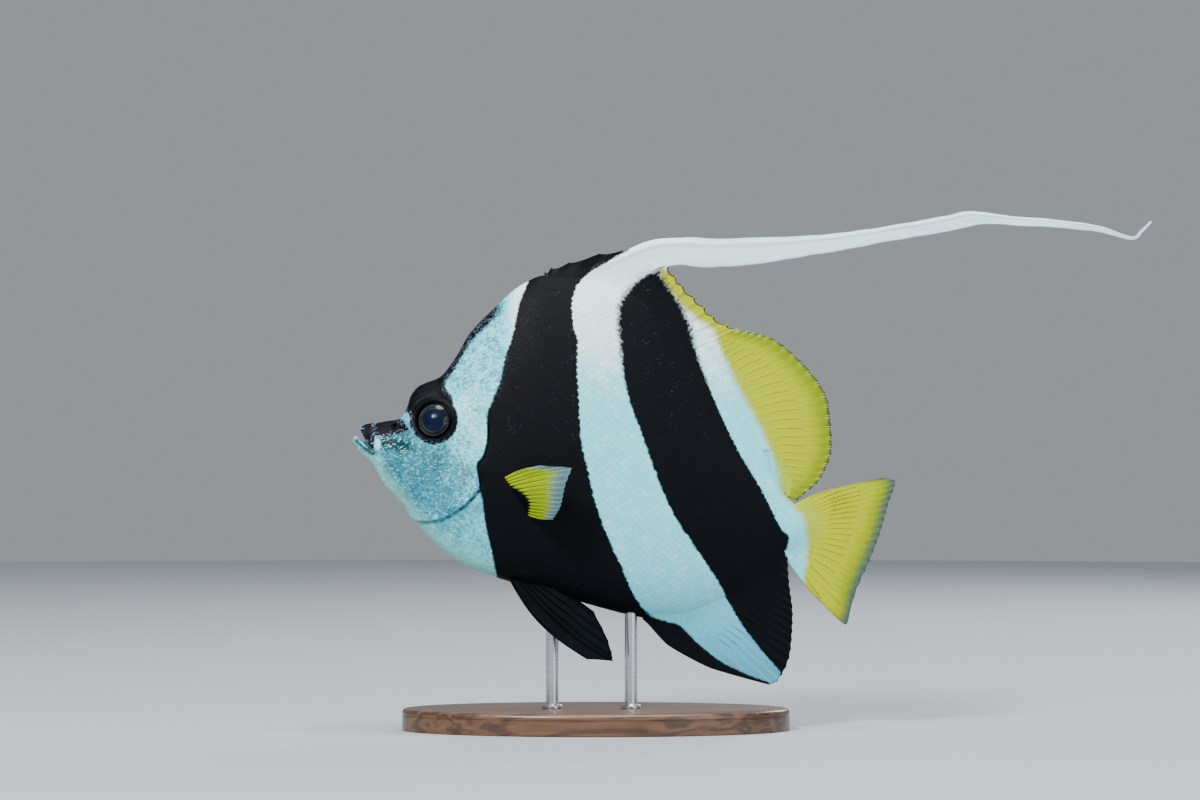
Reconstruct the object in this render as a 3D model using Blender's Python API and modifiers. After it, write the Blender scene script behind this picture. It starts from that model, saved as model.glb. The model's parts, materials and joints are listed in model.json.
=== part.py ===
"""Pennant coralfish: a still, life-size model on a plain display stand.

The fish swims towards -X with its left side towards -Y, nose a little up. Its own sizes are in
millimetres: x runs back from the tip of the lower lip, z up from the lowest tip of the anal fin,
and y out from the middle plane. place() turns them into the scene's metres, where the origin is
the middle of the underside of the stand.
"""

import math

import bmesh
import bpy
import numpy as np
from mathutils import Matrix, Vector

MM = 0.001
GAP = 0.3
WELD = 0.000004

BASE_LENGTH = 124.0
BASE_WIDTH = 66.0
BASE_HEIGHT = 7.0
BASE_EDGE = 1.2
BASE_SIDES = 36
BASE_EDGE_ANGLE = 50.0
ROD_RADIUS = 2.0
ROD_SIDES = 16
ROD_SOCKET = 3.0
ROD_OVERLAP = 4.0
ROD_STATIONS = (("stand_rod_front", 64.0), ("stand_rod_rear", 89.2))
FIN_CLEARANCE = 7.5
SNOUT_X = -78.0
LIFT = BASE_HEIGHT + FIN_CLEARANCE

BODY_LENGTH = 145.6
TOP_LINE = (
    (0.0, 78.3), (1.4, 79.9), (2.5, 81.9), (4.2, 83.2), (6.7, 83.6), (11.6, 84.6), (15.6, 85.7),
    (17.4, 88.9), (18.6, 92.6), (20.9, 95.5), (23.8, 97.0), (27.8, 98.6), (32.8, 104.6),
    (37.5, 112.6), (45.1, 120.5), (54.2, 128.2), (61.0, 131.2), (71.0, 131.6), (80.1, 129.8),
    (92.1, 125.3), (102.1, 117.8), (112.1, 107.3), (122.1, 93.8), (130.1, 79.3), (136.1, 66.3),
    (139.3, 60.6), (142.1, 57.6), (144.5, 54.4), (BODY_LENGTH, 50.8),
)
LOW_LINE = (
    (0.0, 77.9), (0.9, 76.7), (2.3, 74.5), (4.9, 72.3), (7.4, 69.1), (10.5, 63.7), (15.9, 57.6),
    (24.0, 47.3), (34.5, 38.9), (46.0, 34.1), (62.1, 29.6), (77.4, 25.0), (89.5, 21.9),
    (96.1, 20.8), (104.1, 20.9), (114.1, 23.8), (124.1, 29.3), (132.1, 35.8), (138.6, 41.6),
    (142.1, 43.6), (144.5, 46.6), (BODY_LENGTH, 50.2),
)
WIDEST_LEVEL = (
    (0.0, 78.1), (7.0, 76.3), (15.6, 73.0), (28.0, 71.0), (47.0, 68.0), (72.0, 66.0),
    (102.0, 61.0), (127.0, 55.0), (141.0, 50.5), (BODY_LENGTH, 50.5),
)
HALF_WIDTH = (
    (0.0, 0.7), (1.4, 2.2), (4.2, 3.4), (7.0, 4.1), (12.0, 5.3), (18.0, 7.3), (26.4, 9.3),
    (38.0, 11.5), (52.0, 12.8), (68.0, 13.0), (90.0, 11.8), (108.0, 9.4), (124.0, 6.6),
    (136.0, 4.3), (142.0, 3.2), (144.5, 2.1), (BODY_LENGTH, 0.6),
)
BACK_SLOPE = ((0.0, 1.0), (20.0, 0.8), (30.0, 0.85), (50.0, 1.2), (70.0, 1.55), (125.0, 1.6),
              (140.0, 1.1), (BODY_LENGTH, 1.0))
BELLY_SLOPE = ((0.0, 1.0), (15.0, 0.9), (45.0, 0.95), (75.0, 1.1), (95.0, 1.35), (125.0, 1.5),
               (140.0, 1.1), (BODY_LENGTH, 1.0))
BACK_RIDGE = ((0.0, 0.0), (50.0, 0.0), (64.0, 1.3), (132.0, 1.2), (143.0, 0.0))
BELLY_RIDGE = ((0.0, 0.0), (80.0, 0.0), (98.0, 1.3), (130.0, 1.2), (143.0, 0.0))
SLOPE_STEP = 0.8
RING_POINTS = 28
NOSE_STATIONS = 12
BODY_STATIONS = 27
NOSE_LENGTH = 20.0

EYE = (26.4, 84.7)
EYE_RADIUS = 6.6
EYE_DEPTH = 4.5
EYE_PROUD = 1.3
ORBIT_SWELL = 1.1
ORBIT_REACH = 10.0
EYE_SEGMENTS = 18
EYE_RINGS = 9
LID_RADIUS = 6.9
LID_ROLL = 0.8
LID_SINK = 0.55
LID_SIDES = 20
NOSTRILS = ((13.9, 82.9, 0.8), (16.2, 83.9, 1.0))
NOSTRIL_ROLL = 0.4
NOSTRIL_PROUD = 0.05
NOSTRIL_SIDES = 8
ROLL_SIDES = 5

MOUTH_LOWER_EDGE = ((-1.0, 81.2), (2.0, 78.9), (3.6, 77.3), (5.4, 75.7), (7.5, 74.2))
MOUTH_UPPER_EDGE = ((7.5, 74.6), (6.3, 75.9), (5.2, 77.5), (4.4, 79.3), (3.2, 81.2), (0.5, 83.4))
UPPER_LIP = ((7.6, 4.0, 75.5, 0.5), (5.9, 3.5, 77.6, 0.8), (5.1, 2.8, 79.8, 1.0), (3.6, 0.0, 82.0, 1.15))
LIP_POINTS = 13
LOWER_LIP = ((7.2, 4.0, 73.6, 0.5), (4.5, 3.3, 75.3, 0.8), (2.6, 2.2, 76.9, 0.95), (1.3, 0.0, 78.0, 1.0))

GILL_EDGE = (
    (30.0, 117.5), (36.0, 108.0), (41.0, 96.0), (43.3, 86.0), (43.6, 79.0), (42.2, 73.2),
    (40.2, 70.6), (41.3, 64.3), (39.7, 61.3), (34.6, 56.5), (28.2, 53.2), (22.0, 52.8),
    (14.0, 54.5),
)
CHEEK_EDGE = ((35.5, 88.0), (34.5, 78.0), (32.5, 70.0), (28.0, 64.0), (21.0, 60.5), (16.0, 60.0))
GILL_EDGE_POINTS = 34
GILL_PLATE_TOP = 3
GILL_PLATE_ROWS = 4
GILL_PLATE_COLUMNS = 12
GILL_PLATE_LAP = 1.2
GILL_PLATE_PROUD = 0.95
CHEEK_PROUD = 0.25
PLATE_ROOT = 2.0
STALK_STATION = 137.0
BLOCK_HALF_DEPTH = 40.0
MOUTH_HALF_DEPTH = 12.0
AHEAD = -20.0
BEHIND = 180.0
BENEATH = -40.0
ABOVE = 180.0

FIN_MEMBRANE = 0.55
CURVE_STEPS = 24
SMOOTH_ANGLE = 35.0

FINISHES = {
    "skin_silver": ((0.72, 0.86, 0.88), 0.38, 0.0),
    "skin_banded": ((0.80, 0.90, 0.92), 0.40, 0.0),
    "skin_tail": ((0.93, 0.90, 0.10), 0.42, 0.0),
    "fin_dark": ((0.03, 0.04, 0.06), 0.45, 0.0),
    "fin_white": ((0.90, 0.95, 0.96), 0.45, 0.0),
    "fin_yellow": ((0.94, 0.90, 0.06), 0.45, 0.0),
    "eye_glass": ((0.02, 0.02, 0.03), 0.08, 0.0),
    "base_wood": ((0.16, 0.08, 0.04), 0.40, 0.0),
    "rod_steel": ((0.62, 0.62, 0.64), 0.28, 1.0),
}


def place(x, y, z):
    """Returns a point of the fish, in millimetres, as a point of the scene in metres."""
    return ((x + SNOUT_X) * MM, y * MM, (z + LIFT) * MM)


def line_through(points):
    """Returns a smooth function through (x, value) points that never overshoots them."""
    xs = np.array([point[0] for point in points], dtype=float)
    ys = np.array([point[1] for point in points], dtype=float)
    steps = np.diff(xs)
    slopes = np.diff(ys) / steps
    tangents = np.zeros(len(xs))
    tangents[0] = slopes[0]
    tangents[-1] = slopes[-1]
    for i in range(1, len(xs) - 1):
        if slopes[i - 1] * slopes[i] > 0.0:
            before = 2.0 * steps[i] + steps[i - 1]
            after = steps[i] + 2.0 * steps[i - 1]
            tangents[i] = (before + after) / (before / slopes[i - 1] + after / slopes[i])

    def value(x):
        x = float(min(max(x, xs[0]), xs[-1]))
        i = int(min(max(np.searchsorted(xs, x) - 1, 0), len(steps) - 1))
        t = (x - xs[i]) / steps[i]
        rise = (3.0 - 2.0 * t) * t * t
        leave = (t * t * t - 2.0 * t * t + t) * steps[i]
        arrive = (t * t * t - t * t) * steps[i]
        return ys[i] * (1.0 - rise) + ys[i + 1] * rise + leave * tangents[i] + arrive * tangents[i + 1]

    return value


def curve_through(points, count):
    """Returns count points evenly spread along a smooth curve through the given ones."""
    controls = np.array(points, dtype=float)
    before = 2.0 * controls[0] - controls[1]
    after = 2.0 * controls[-1] - controls[-2]
    padded = np.vstack([before, controls, after])
    fine = []
    for i in range(1, len(padded) - 2):
        a, b, c, d = padded[i - 1:i + 3]
        for t in np.linspace(0.0, 1.0, CURVE_STEPS, endpoint=False):
            bend = (2.0 * a - 5.0 * b + 4.0 * c - d) * t * t
            twist = (3.0 * b - a - 3.0 * c + d) * t * t * t
            fine.append(0.5 * (2.0 * b + (c - a) * t + bend + twist))
    fine.append(controls[-1])
    fine = np.array(fine)
    run = np.concatenate([[0.0], np.cumsum(np.linalg.norm(np.diff(fine, axis=0), axis=1))])
    wanted = np.linspace(0.0, run[-1], count)
    return np.column_stack([np.interp(wanted, run, fine[:, k]) for k in range(fine.shape[1])])


top_line = line_through(TOP_LINE)
low_line = line_through(LOW_LINE)
widest_level = line_through(WIDEST_LEVEL)
half_width = line_through(HALF_WIDTH)
back_slope = line_through(BACK_SLOPE)
belly_slope = line_through(BELLY_SLOPE)
back_ridge = line_through(BACK_RIDGE)
belly_ridge = line_through(BELLY_RIDGE)


def orbit_swell(x, z):
    """Returns how far the head swells out round the eye at this place."""
    distance = math.hypot(x - EYE[0], z - EYE[1]) / ORBIT_REACH
    return ORBIT_SWELL * math.exp(-distance ** 4)


def flank_share(x, height, upper):
    """Returns the flank's distance from the middle plane at a height from 0, widest, to 1, the edge."""
    slope = back_slope(x) if upper else belly_slope(x)
    ridge = back_ridge(x) if upper else belly_ridge(x)
    rest = max(1.0 - height * height, 0.0)
    return (half_width(x) - ridge) * rest ** (0.5 * slope) + ridge * rest ** 0.25


def flank(x, z):
    """Returns the distance of the body's side from the middle plane at this place."""
    middle = widest_level(x)
    upper = z >= middle
    edge = top_line(x) if upper else low_line(x)
    height = min(abs((z - middle) / (edge - middle)), 1.0)
    return flank_share(x, height, upper) + orbit_swell(x, z) * (1.0 - height ** 8)


def flank_normal(x, z, side):
    """Returns the direction that the body's side faces at this place."""
    along = (flank(x + SLOPE_STEP, z) - flank(x - SLOPE_STEP, z)) / (2.0 * SLOPE_STEP)
    upward = (flank(x, z + SLOPE_STEP) - flank(x, z - SLOPE_STEP)) / (2.0 * SLOPE_STEP)
    return Vector((-along, side, -upward)).normalized()


def make_object(name, vertices, faces, collection):
    """Makes a mesh object from points in metres, with all its faces turned outwards."""
    mesh = bpy.data.meshes.new(name)
    mesh.from_pydata([tuple(v) for v in vertices], [], [tuple(f) for f in faces])
    shape = bmesh.new()
    shape.from_mesh(mesh)
    bmesh.ops.recalc_face_normals(shape, faces=shape.faces)
    if shape.calc_volume(signed=True) < 0.0:
        bmesh.ops.reverse_faces(shape, faces=shape.faces)
    shape.to_mesh(mesh)
    shape.free()
    piece = bpy.data.objects.new(name, mesh)
    collection.objects.link(piece)
    return piece


def apply_modifiers(piece):
    """Replaces a piece's mesh by the result of its modifiers and keeps its largest closed surface."""
    depsgraph = bpy.context.evaluated_depsgraph_get()
    result = bpy.data.meshes.new_from_object(piece.evaluated_get(depsgraph))
    piece.modifiers.clear()
    old = piece.data
    piece.data = result
    bpy.data.meshes.remove(old)
    keep_largest(piece.data)


def keep_largest(mesh):
    """Welds stray doubles, splits faces into triangles and drops all but the largest closed surface."""
    shape = bmesh.new()
    shape.from_mesh(mesh)
    bmesh.ops.triangulate(shape, faces=shape.faces)
    bmesh.ops.remove_doubles(shape, verts=shape.verts, dist=WELD)
    bmesh.ops.dissolve_degenerate(shape, dist=WELD, edges=shape.edges)
    shape.faces.ensure_lookup_table()
    seen = set()
    best = []
    for start in shape.faces:
        if start.index in seen:
            continue
        seen.add(start.index)
        island = [start]
        for face in island:
            for edge in face.edges:
                for other in edge.link_faces:
                    if other.index not in seen:
                        seen.add(other.index)
                        island.append(other)
        if len(island) > len(best):
            best = island
    kept = set(face.index for face in best)
    loose = [face for face in shape.faces if face.index not in kept]
    bmesh.ops.delete(shape, geom=loose, context="FACES")
    shape.to_mesh(mesh)
    shape.free()


def combine(piece, tools, operation, solver="EXACT"):
    """Joins, cuts or trims a piece by tool objects and applies the result."""
    gathered = bpy.data.collections.new(piece.name + "_tools")
    bpy.context.scene.collection.children.link(gathered)
    for tool in tools:
        gathered.objects.link(tool)
    modifier = piece.modifiers.new(operation.lower(), "BOOLEAN")
    modifier.operation = operation
    modifier.operand_type = "COLLECTION"
    modifier.collection = gathered
    modifier.solver = solver
    apply_modifiers(piece)
    bpy.data.collections.remove(gathered)


def discard(tools):
    """Removes tool objects that have done their work."""
    for tool in tools:
        bpy.data.objects.remove(tool)


def dress(piece, finish):
    """Gives a piece its own material of the named finish and smooth shading between sharp edges."""
    colour, roughness, metallic = FINISHES[finish]
    material = bpy.data.materials.new(piece.name + "_" + finish)
    material.use_nodes = True
    shader = material.node_tree.nodes["Principled BSDF"]
    shader.inputs["Base Color"].default_value = (*colour, 1.0)
    shader.inputs["Roughness"].default_value = roughness
    shader.inputs["Metallic"].default_value = metallic
    piece.data.materials.clear()
    piece.data.materials.append(material)
    piece.data.shade_smooth()
    piece.data.set_sharp_from_angle(angle=math.radians(SMOOTH_ANGLE))


def body_stations():
    """Returns the places of the rings along the body, closest at the snout and the tail's root."""
    nose = [NOSE_LENGTH * (i / NOSE_STATIONS) ** 1.6 for i in range(NOSE_STATIONS)]
    rear = BODY_LENGTH - NOSE_LENGTH
    turns = [1.0 - (1.0 - i / BODY_STATIONS) ** 1.25 for i in range(BODY_STATIONS + 1)]
    return nose + [NOSE_LENGTH + rear * turn for turn in turns]


def make_body(name, grow, collection):
    """Lofts the whole body from snout to tail root, thicker by grow on every side."""
    vertices = []
    stations = body_stations()
    for x in stations:
        middle = widest_level(x)
        end = (x - 0.5 * BODY_LENGTH) / (0.5 * BODY_LENGTH)
        for k in range(RING_POINTS):
            turn = 2.0 * math.pi * k / RING_POINTS
            upper = math.cos(turn) >= 0.0
            height = abs(math.cos(turn))
            edge = top_line(x) if upper else low_line(x)
            z = middle + (edge - middle) * height
            y = flank_share(x, height, upper) + orbit_swell(x, z) * (1.0 - height ** 8)
            out_y = abs(math.sin(turn)) * grow
            out_z = math.cos(turn) * grow
            side = -1.0 if 0 < k < RING_POINTS // 2 else 1.0
            if k in (0, RING_POINTS // 2):
                y = 0.0
                out_y = 0.0
            vertices.append(place(x + grow * end ** 3, side * (y + out_y), z + out_z))
    faces = []
    for ring in range(len(stations) - 1):
        here = ring * RING_POINTS
        there = here + RING_POINTS
        for k in range(RING_POINTS):
            after = (k + 1) % RING_POINTS
            faces.append((here + k, here + after, there + after))
            faces.append((here + k, there + after, there + k))
    faces.append(tuple(range(RING_POINTS)))
    last = (len(stations) - 1) * RING_POINTS
    faces.append(tuple(range(last, last + RING_POINTS)))
    return make_object(name, vertices, faces, collection)


def make_prism(name, outline, half_depth, collection):
    """Makes a block with the given side-view outline, in the fish's millimetres."""
    count = len(outline)
    vertices = [place(x, -half_depth, z) for x, z in outline]
    vertices += [place(x, half_depth, z) for x, z in outline]
    faces = [tuple(range(count)), tuple(range(count, 2 * count))]
    for i in range(count):
        after = (i + 1) % count
        faces.append((i, after, count + after, count + i))
    block = make_object(name, vertices, faces, collection)
    block.hide_render = True
    block.display_type = "WIRE"
    return block


def shifted(curve, distance):
    """Returns a curve in side view moved sideways, to its left as it runs, by a distance."""
    tangent = np.gradient(curve, axis=0)
    tangent /= np.linalg.norm(tangent, axis=1)[:, None]
    return curve + distance * np.column_stack([-tangent[:, 1], tangent[:, 0]])


def head_outline(grow):
    """Returns the side-view outline that parts the head from the torso, larger by grow."""
    edge = shifted(curve_through(GILL_EDGE, GILL_EDGE_POINTS), grow)
    above = [(AHEAD, ABOVE), (edge[0][0], ABOVE)]
    below = [(edge[-1][0], BENEATH), (AHEAD, BENEATH)]
    return above + [tuple(point) for point in edge] + below


def shell_faces(rows, columns):
    """Returns the triangles that close two like grids of points, the near one numbered first."""
    offset = rows * columns
    faces = []
    for i in range(rows - 1):
        for j in range(columns - 1):
            a = i * columns + j
            b = a + 1
            c = a + columns + 1
            d = a + columns
            faces += [(a, b, c), (a, c, d)]
            faces += [(a + offset, c + offset, b + offset), (a + offset, d + offset, c + offset)]
    rim = [j for j in range(columns)]
    rim += [i * columns + columns - 1 for i in range(1, rows)]
    rim += [(rows - 1) * columns + j for j in range(columns - 2, -1, -1)]
    rim += [i * columns for i in range(rows - 2, 0, -1)]
    for i, a in enumerate(rim):
        b = rim[(i + 1) % len(rim)]
        faces += [(a, b + offset, b), (a, a + offset, b + offset)]
    return faces


def make_sheet(name, middle, facing, half, collection):
    """Makes a thin closed sheet round a grid of points, split alike on both faces.

    middle is an array (rows, columns, 3) in the fish's millimetres, half is the half thickness at
    each of its points and facing the direction that it is measured in.
    """
    rows, columns = half.shape
    near = middle - facing * half[:, :, None]
    far = middle + facing * half[:, :, None]
    vertices = [place(*p) for p in near.reshape(-1, 3)]
    vertices += [place(*p) for p in far.reshape(-1, 3)]
    return make_object(name, vertices, shell_faces(rows, columns), collection)


def sheet_normal(middle):
    """Returns the one direction that a slightly curved grid of points faces, as a unit vector."""
    along = np.gradient(middle, axis=0)
    across = np.gradient(middle, axis=1)
    facing = np.cross(along, across).reshape(-1, 3).sum(axis=0)
    return facing / np.linalg.norm(facing)


class Fin:
    """A fin as a fan of rays: key rays say where its rays start and end, the rest lie between.

    Each key ray is (place in the count of rays, root point, tip point). rows is the number of
    points along a ray, and root_half and tip_half are its half thickness where it starts and ends.
    bow is how far the rays bend sideways from a straight line at the leading and at the trailing
    end of the fin, and cup how far the middle rays belly out to one side.
    """

    def __init__(self, name, finish, keys, rows, root_half, tip_half, bow=(0.0, 0.0), cup=0.0):
        self.name = name
        self.finish = finish
        self.keys = keys
        self.rows = rows
        self.root_half = root_half
        self.tip_half = tip_half
        self.bow = bow
        self.cup = cup

    def ray_ends(self, index):
        """Returns the root and the tip of the ray at this place in the count."""
        ends = []
        for part in (1, 2):
            size = len(self.keys[0][part])
            lines = [line_through([(key[0], key[part][k]) for key in self.keys]) for k in range(size)]
            ends.append(np.array([line(index) for line in lines]))
        return ends

    def make(self, collection):
        """Makes the fin's sheet, with each ray a ridge on both of its faces."""
        first = self.keys[0][0]
        last = self.keys[-1][0]
        columns = 2 * (last - first) + 1
        middle = np.zeros((self.rows, columns, 3))
        half = np.zeros((self.rows, columns))
        for j in range(columns):
            index = first + 0.5 * j
            share = j / (columns - 1)
            root, tip = self.ray_ends(index)
            if len(root) == 2:
                root = np.array([root[0], 0.0, root[1]])
                tip = np.array([tip[0], 0.0, tip[1]])
            run = tip - root
            sideways = np.array([-run[2], 0.0, run[0]]) / max(math.hypot(run[0], run[2]), 1e-6)
            bend = self.bow[0] * (1.0 - share) + self.bow[1] * share
            crest = j % 2 == 0
            for i in range(self.rows):
                u = i / (self.rows - 1)
                point = root + run * u + sideways * bend * math.sin(math.pi * u)
                point[1] += self.cup * math.sin(math.pi * share) * u * (1.6 - u)
                middle[i, j] = point
                ray = self.root_half * (1.0 - u) + self.tip_half * u
                half[i, j] = ray if crest else 0.5 * FIN_MEMBRANE
        return make_sheet(self.name, middle, sheet_normal(middle), half, collection)


DORSAL_FRONT = Fin(
    "dorsal_spines_front", "fin_dark",
    ((0, (62.5, 127.0), (61.6, 131.9)), (1, (63.5, 127.0), (63.6, 133.3)),
     (2, (67.0, 127.2), (69.2, 135.0)), (3, (71.0, 127.0), (79.0, 137.9)),
     (4, (73.6, 126.8), (86.6, 139.0))),
    5, 0.85, 0.32,
)
DORSAL_REAR = Fin(
    "dorsal_spines_rear", "fin_white",
    ((0, (79.0, 124.6), (101.2, 134.0)), (1, (89.5, 119.5), (103.7, 130.6)),
     (2, (93.2, 117.6), (105.9, 127.9)), (3, (96.6, 115.6), (109.5, 124.1)),
     (4, (99.8, 113.4), (112.8, 121.0)), (5, (102.6, 111.2), (115.7, 117.9)),
     (6, (105.4, 108.8), (120.0, 115.2)), (7, (107.6, 106.6), (123.2, 114.0))),
    5, 0.9, 0.32,
)
DORSAL_SOFT = Fin(
    "dorsal_soft", "fin_yellow",
    ((0, (108.2, 106.0), (123.9, 113.6)), (4, (113.2, 99.8), (133.0, 111.7)),
     (8, (118.2, 92.6), (143.8, 103.6)), (12, (123.0, 84.8), (152.6, 90.0)),
     (16, (127.6, 76.6), (153.7, 76.4)), (20, (131.8, 68.6), (150.2, 66.2)),
     (24, (136.0, 61.2), (142.6, 58.9))),
    4, 0.8, 0.3, (0.6, 0.2),
)
ANAL = Fin(
    "anal_fin", "fin_dark",
    ((0, (92.5, 24.5), (92.2, 20.1)), (1, (96.5, 24.5), (100.9, 12.7)),
     (2, (99.5, 25.0), (114.6, 5.3)), (3, (103.5, 25.5), (133.5, 0.0)),
     (5, (108.0, 26.2), (137.6, 3.2)), (8, (114.0, 28.2), (140.5, 11.5)),
     (12, (122.0, 33.0), (141.1, 22.5)), (16, (130.0, 39.6), (139.9, 33.0)),
     (19, (135.4, 44.6), (139.4, 40.6))),
    4, 0.95, 0.32, (0.8, 0.0),
)
CAUDAL = Fin(
    "caudal_fin", "fin_yellow",
    ((0, (139.6, 56.0), (157.5, 63.7)), (1, (140.2, 55.5), (170.6, 66.3)),
     (2, (140.8, 55.0), (174.0, 65.2)), (6, (142.0, 52.2), (171.5, 57.2)),
     (9, (142.4, 50.0), (169.6, 50.2)), (12, (142.0, 47.6), (166.8, 42.4)),
     (16, (139.4, 44.6), (160.6, 27.8)), (17, (138.6, 44.2), (157.9, 19.2)),
     (18, (137.6, 44.0), (149.6, 26.8))),
    4, 0.9, 0.3, (0.9, -0.9),
)
PECTORAL_KEYS = (
    (0, (47.8, 10.6, 65.4), (60.5, 23.0, 70.4)), (2, (48.8, 10.7, 64.4), (70.4, 31.0, 69.7)),
    (5, (50.8, 10.7, 61.8), (68.4, 30.8, 64.2)), (9, (53.4, 10.6, 58.4), (67.0, 29.6, 58.0)),
    (13, (56.0, 10.4, 55.0), (64.4, 25.5, 53.5)),
)
PELVIC_KEYS = (
    (0, (49.6, 2.6, 36.0), (75.2, 8.8, 8.6)), (1, (51.6, 2.6, 35.4), (83.6, 9.4, 8.0)),
    (3, (54.8, 2.5, 34.4), (82.0, 8.2, 13.6)), (5, (58.0, 2.4, 33.4), (77.4, 6.4, 23.0)),
)
PENNANT_CENTRE = (
    (74.4, 128.0), (80.5, 131.0), (88.0, 134.4), (97.0, 138.0), (106.0, 138.7), (115.5, 138.1),
    (133.0, 139.1), (155.0, 141.6), (174.0, 144.7), (188.0, 147.1), (199.4, 149.3), (212.0, 148.4),
    (224.6, 147.6), (238.5, 145.9), (249.4, 142.9), (252.8, 145.3), (255.7, 148.2),
)
PENNANT_DEPTH = (
    (0.0, 8.6), (0.08, 8.9), (0.16, 8.8), (0.22, 9.2), (0.30, 8.4), (0.42, 6.0), (0.55, 4.8),
    (0.66, 5.0), (0.72, 3.2), (0.80, 2.6), (0.88, 2.1), (0.95, 1.2), (1.0, 0.6),
)
PENNANT_HEIGHTS = (-0.5, 0.15, 0.34, 0.5)
PENNANT_SPINE = 0.75
PENNANT_SPINE_ROW = 2
PENNANT_STEPS = 200
PENNANT_LENGTHS = (
    ("pennant_root", 0.0, 0.27, 12),
    ("pennant_middle", 0.27, 0.62, 12),
    ("pennant_tip", 0.62, 1.0, 18),
)
PENNANT_ROOM = (("pennant_room", 0.0, 0.3, 16),)


def make_pennant(lengths, grow, collection):
    """Makes lengths of the fourth dorsal spine's long streamer, thicker by grow on every side.

    Each length is (name, start and end as shares of the streamer, columns), and the spine itself
    runs along the top edge.
    """
    places = np.linspace(0.0, 1.0, PENNANT_STEPS + 1)
    centre = curve_through(PENNANT_CENTRE, PENNANT_STEPS + 1)
    depth = line_through(PENNANT_DEPTH)
    total = float(np.linalg.norm(np.diff(centre, axis=0), axis=1).sum())
    tangent = np.gradient(centre, axis=0)
    tangent /= np.linalg.norm(tangent, axis=1)[:, None]
    across = np.column_stack([-tangent[:, 1], tangent[:, 0]])
    pieces = []
    for name, start, end, columns in lengths:
        trim_start = 0.0 if start == 0.0 else 0.5 * GAP / total
        trim_end = 0.0 if end == 1.0 else 0.5 * GAP / total
        shares = np.linspace(start + trim_start, end - trim_end, columns)
        middle = np.zeros((len(PENNANT_HEIGHTS), columns, 3))
        half = np.zeros((len(PENNANT_HEIGHTS), columns))
        for j, share in enumerate(shares):
            x, z = (np.interp(share, places, centre[:, k]) for k in (0, 1))
            out_x, out_z = (np.interp(share, places, across[:, k]) for k in (0, 1))
            fade = 1.0 - 0.55 * share
            for i, height in enumerate(PENNANT_HEIGHTS):
                reach = height * (depth(share) + 2.0 * grow)
                middle[i, j] = (x + out_x * reach, 0.0, z + out_z * reach)
                half[i, j] = (PENNANT_SPINE * fade if i == PENNANT_SPINE_ROW else 0.5 * FIN_MEMBRANE) + grow
        pieces.append(make_sheet(name, middle, np.array([0.0, 1.0, 0.0]), half, collection))
    return pieces


def make_pair(stem, finish, keys, rows, root_half, tip_half, bow, cup, collection):
    """Makes a fin on each side of the body, its root set inside the flank."""
    pair = []
    for side_name, side in (("left", -1.0), ("right", 1.0)):
        placed = []
        for index, root, tip in keys:
            ends = [(x, side * y, z) for x, y, z in (root, tip)]
            placed.append((index, *ends))
        name = stem + "_" + side_name
        fin = Fin(name, finish, tuple(placed), rows, root_half, tip_half, bow, side * cup)
        pair.append((fin, fin.make(collection)))
    return pair


def make_lip(name, points, collection):
    """Makes one lip as a round tapering roll that runs from corner to corner of the mouth."""
    half = [(x, -y, z, radius) for x, y, z, radius in points]
    whole = half + [(x, -y, z, radius) for x, y, z, radius in reversed(half[:-1])]
    smooth = curve_through(whole, LIP_POINTS)
    curve = bpy.data.curves.new(name, "CURVE")
    curve.dimensions = "3D"
    curve.bevel_depth = MM
    curve.bevel_resolution = 1
    curve.use_fill_caps = True
    spline = curve.splines.new("POLY")
    spline.points.add(len(smooth) - 1)
    for point, (x, y, z, radius) in zip(spline.points, smooth):
        point.co = (*place(x, y, z), 1.0)
        point.radius = radius
    guide = bpy.data.objects.new(name + "_curve", curve)
    collection.objects.link(guide)
    bpy.context.view_layer.update()
    depsgraph = bpy.context.evaluated_depsgraph_get()
    mesh = bpy.data.meshes.new_from_object(guide.evaluated_get(depsgraph))
    shape = bmesh.new()
    shape.from_mesh(mesh)
    bmesh.ops.remove_doubles(shape, verts=shape.verts, dist=2.0 * WELD)
    bmesh.ops.recalc_face_normals(shape, faces=shape.faces)
    shape.to_mesh(mesh)
    shape.free()
    lip = bpy.data.objects.new(name, mesh)
    lip.matrix_world = guide.matrix_world
    collection.objects.link(lip)
    bpy.data.objects.remove(guide)
    return lip


def make_ring(name, centre, normal, radius, roll, sides, collection):
    """Makes a rounded ring that lies on the skin, for a lid or the rim of a nostril."""
    shape = bmesh.new()
    turned = normal.to_track_quat("Z", "Y").to_matrix().to_4x4()
    turned.translation = Vector(place(*centre))
    rings = []
    for i in range(sides):
        around = 2.0 * math.pi * i / sides
        ring = []
        for k in range(ROLL_SIDES):
            turn = 2.0 * math.pi * k / ROLL_SIDES
            reach = radius + roll * math.cos(turn)
            local = Vector((reach * math.cos(around), reach * math.sin(around), roll * math.sin(turn)))
            ring.append(shape.verts.new(turned @ (local * MM)))
        rings.append(ring)
    for i in range(sides):
        there = rings[(i + 1) % sides]
        for k in range(ROLL_SIDES):
            after = (k + 1) % ROLL_SIDES
            shape.faces.new((rings[i][k], rings[i][after], there[after], there[k]))
    bmesh.ops.recalc_face_normals(shape, faces=shape.faces)
    mesh = bpy.data.meshes.new(name)
    shape.to_mesh(mesh)
    shape.free()
    ring_object = bpy.data.objects.new(name, mesh)
    collection.objects.link(ring_object)
    return ring_object


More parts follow.
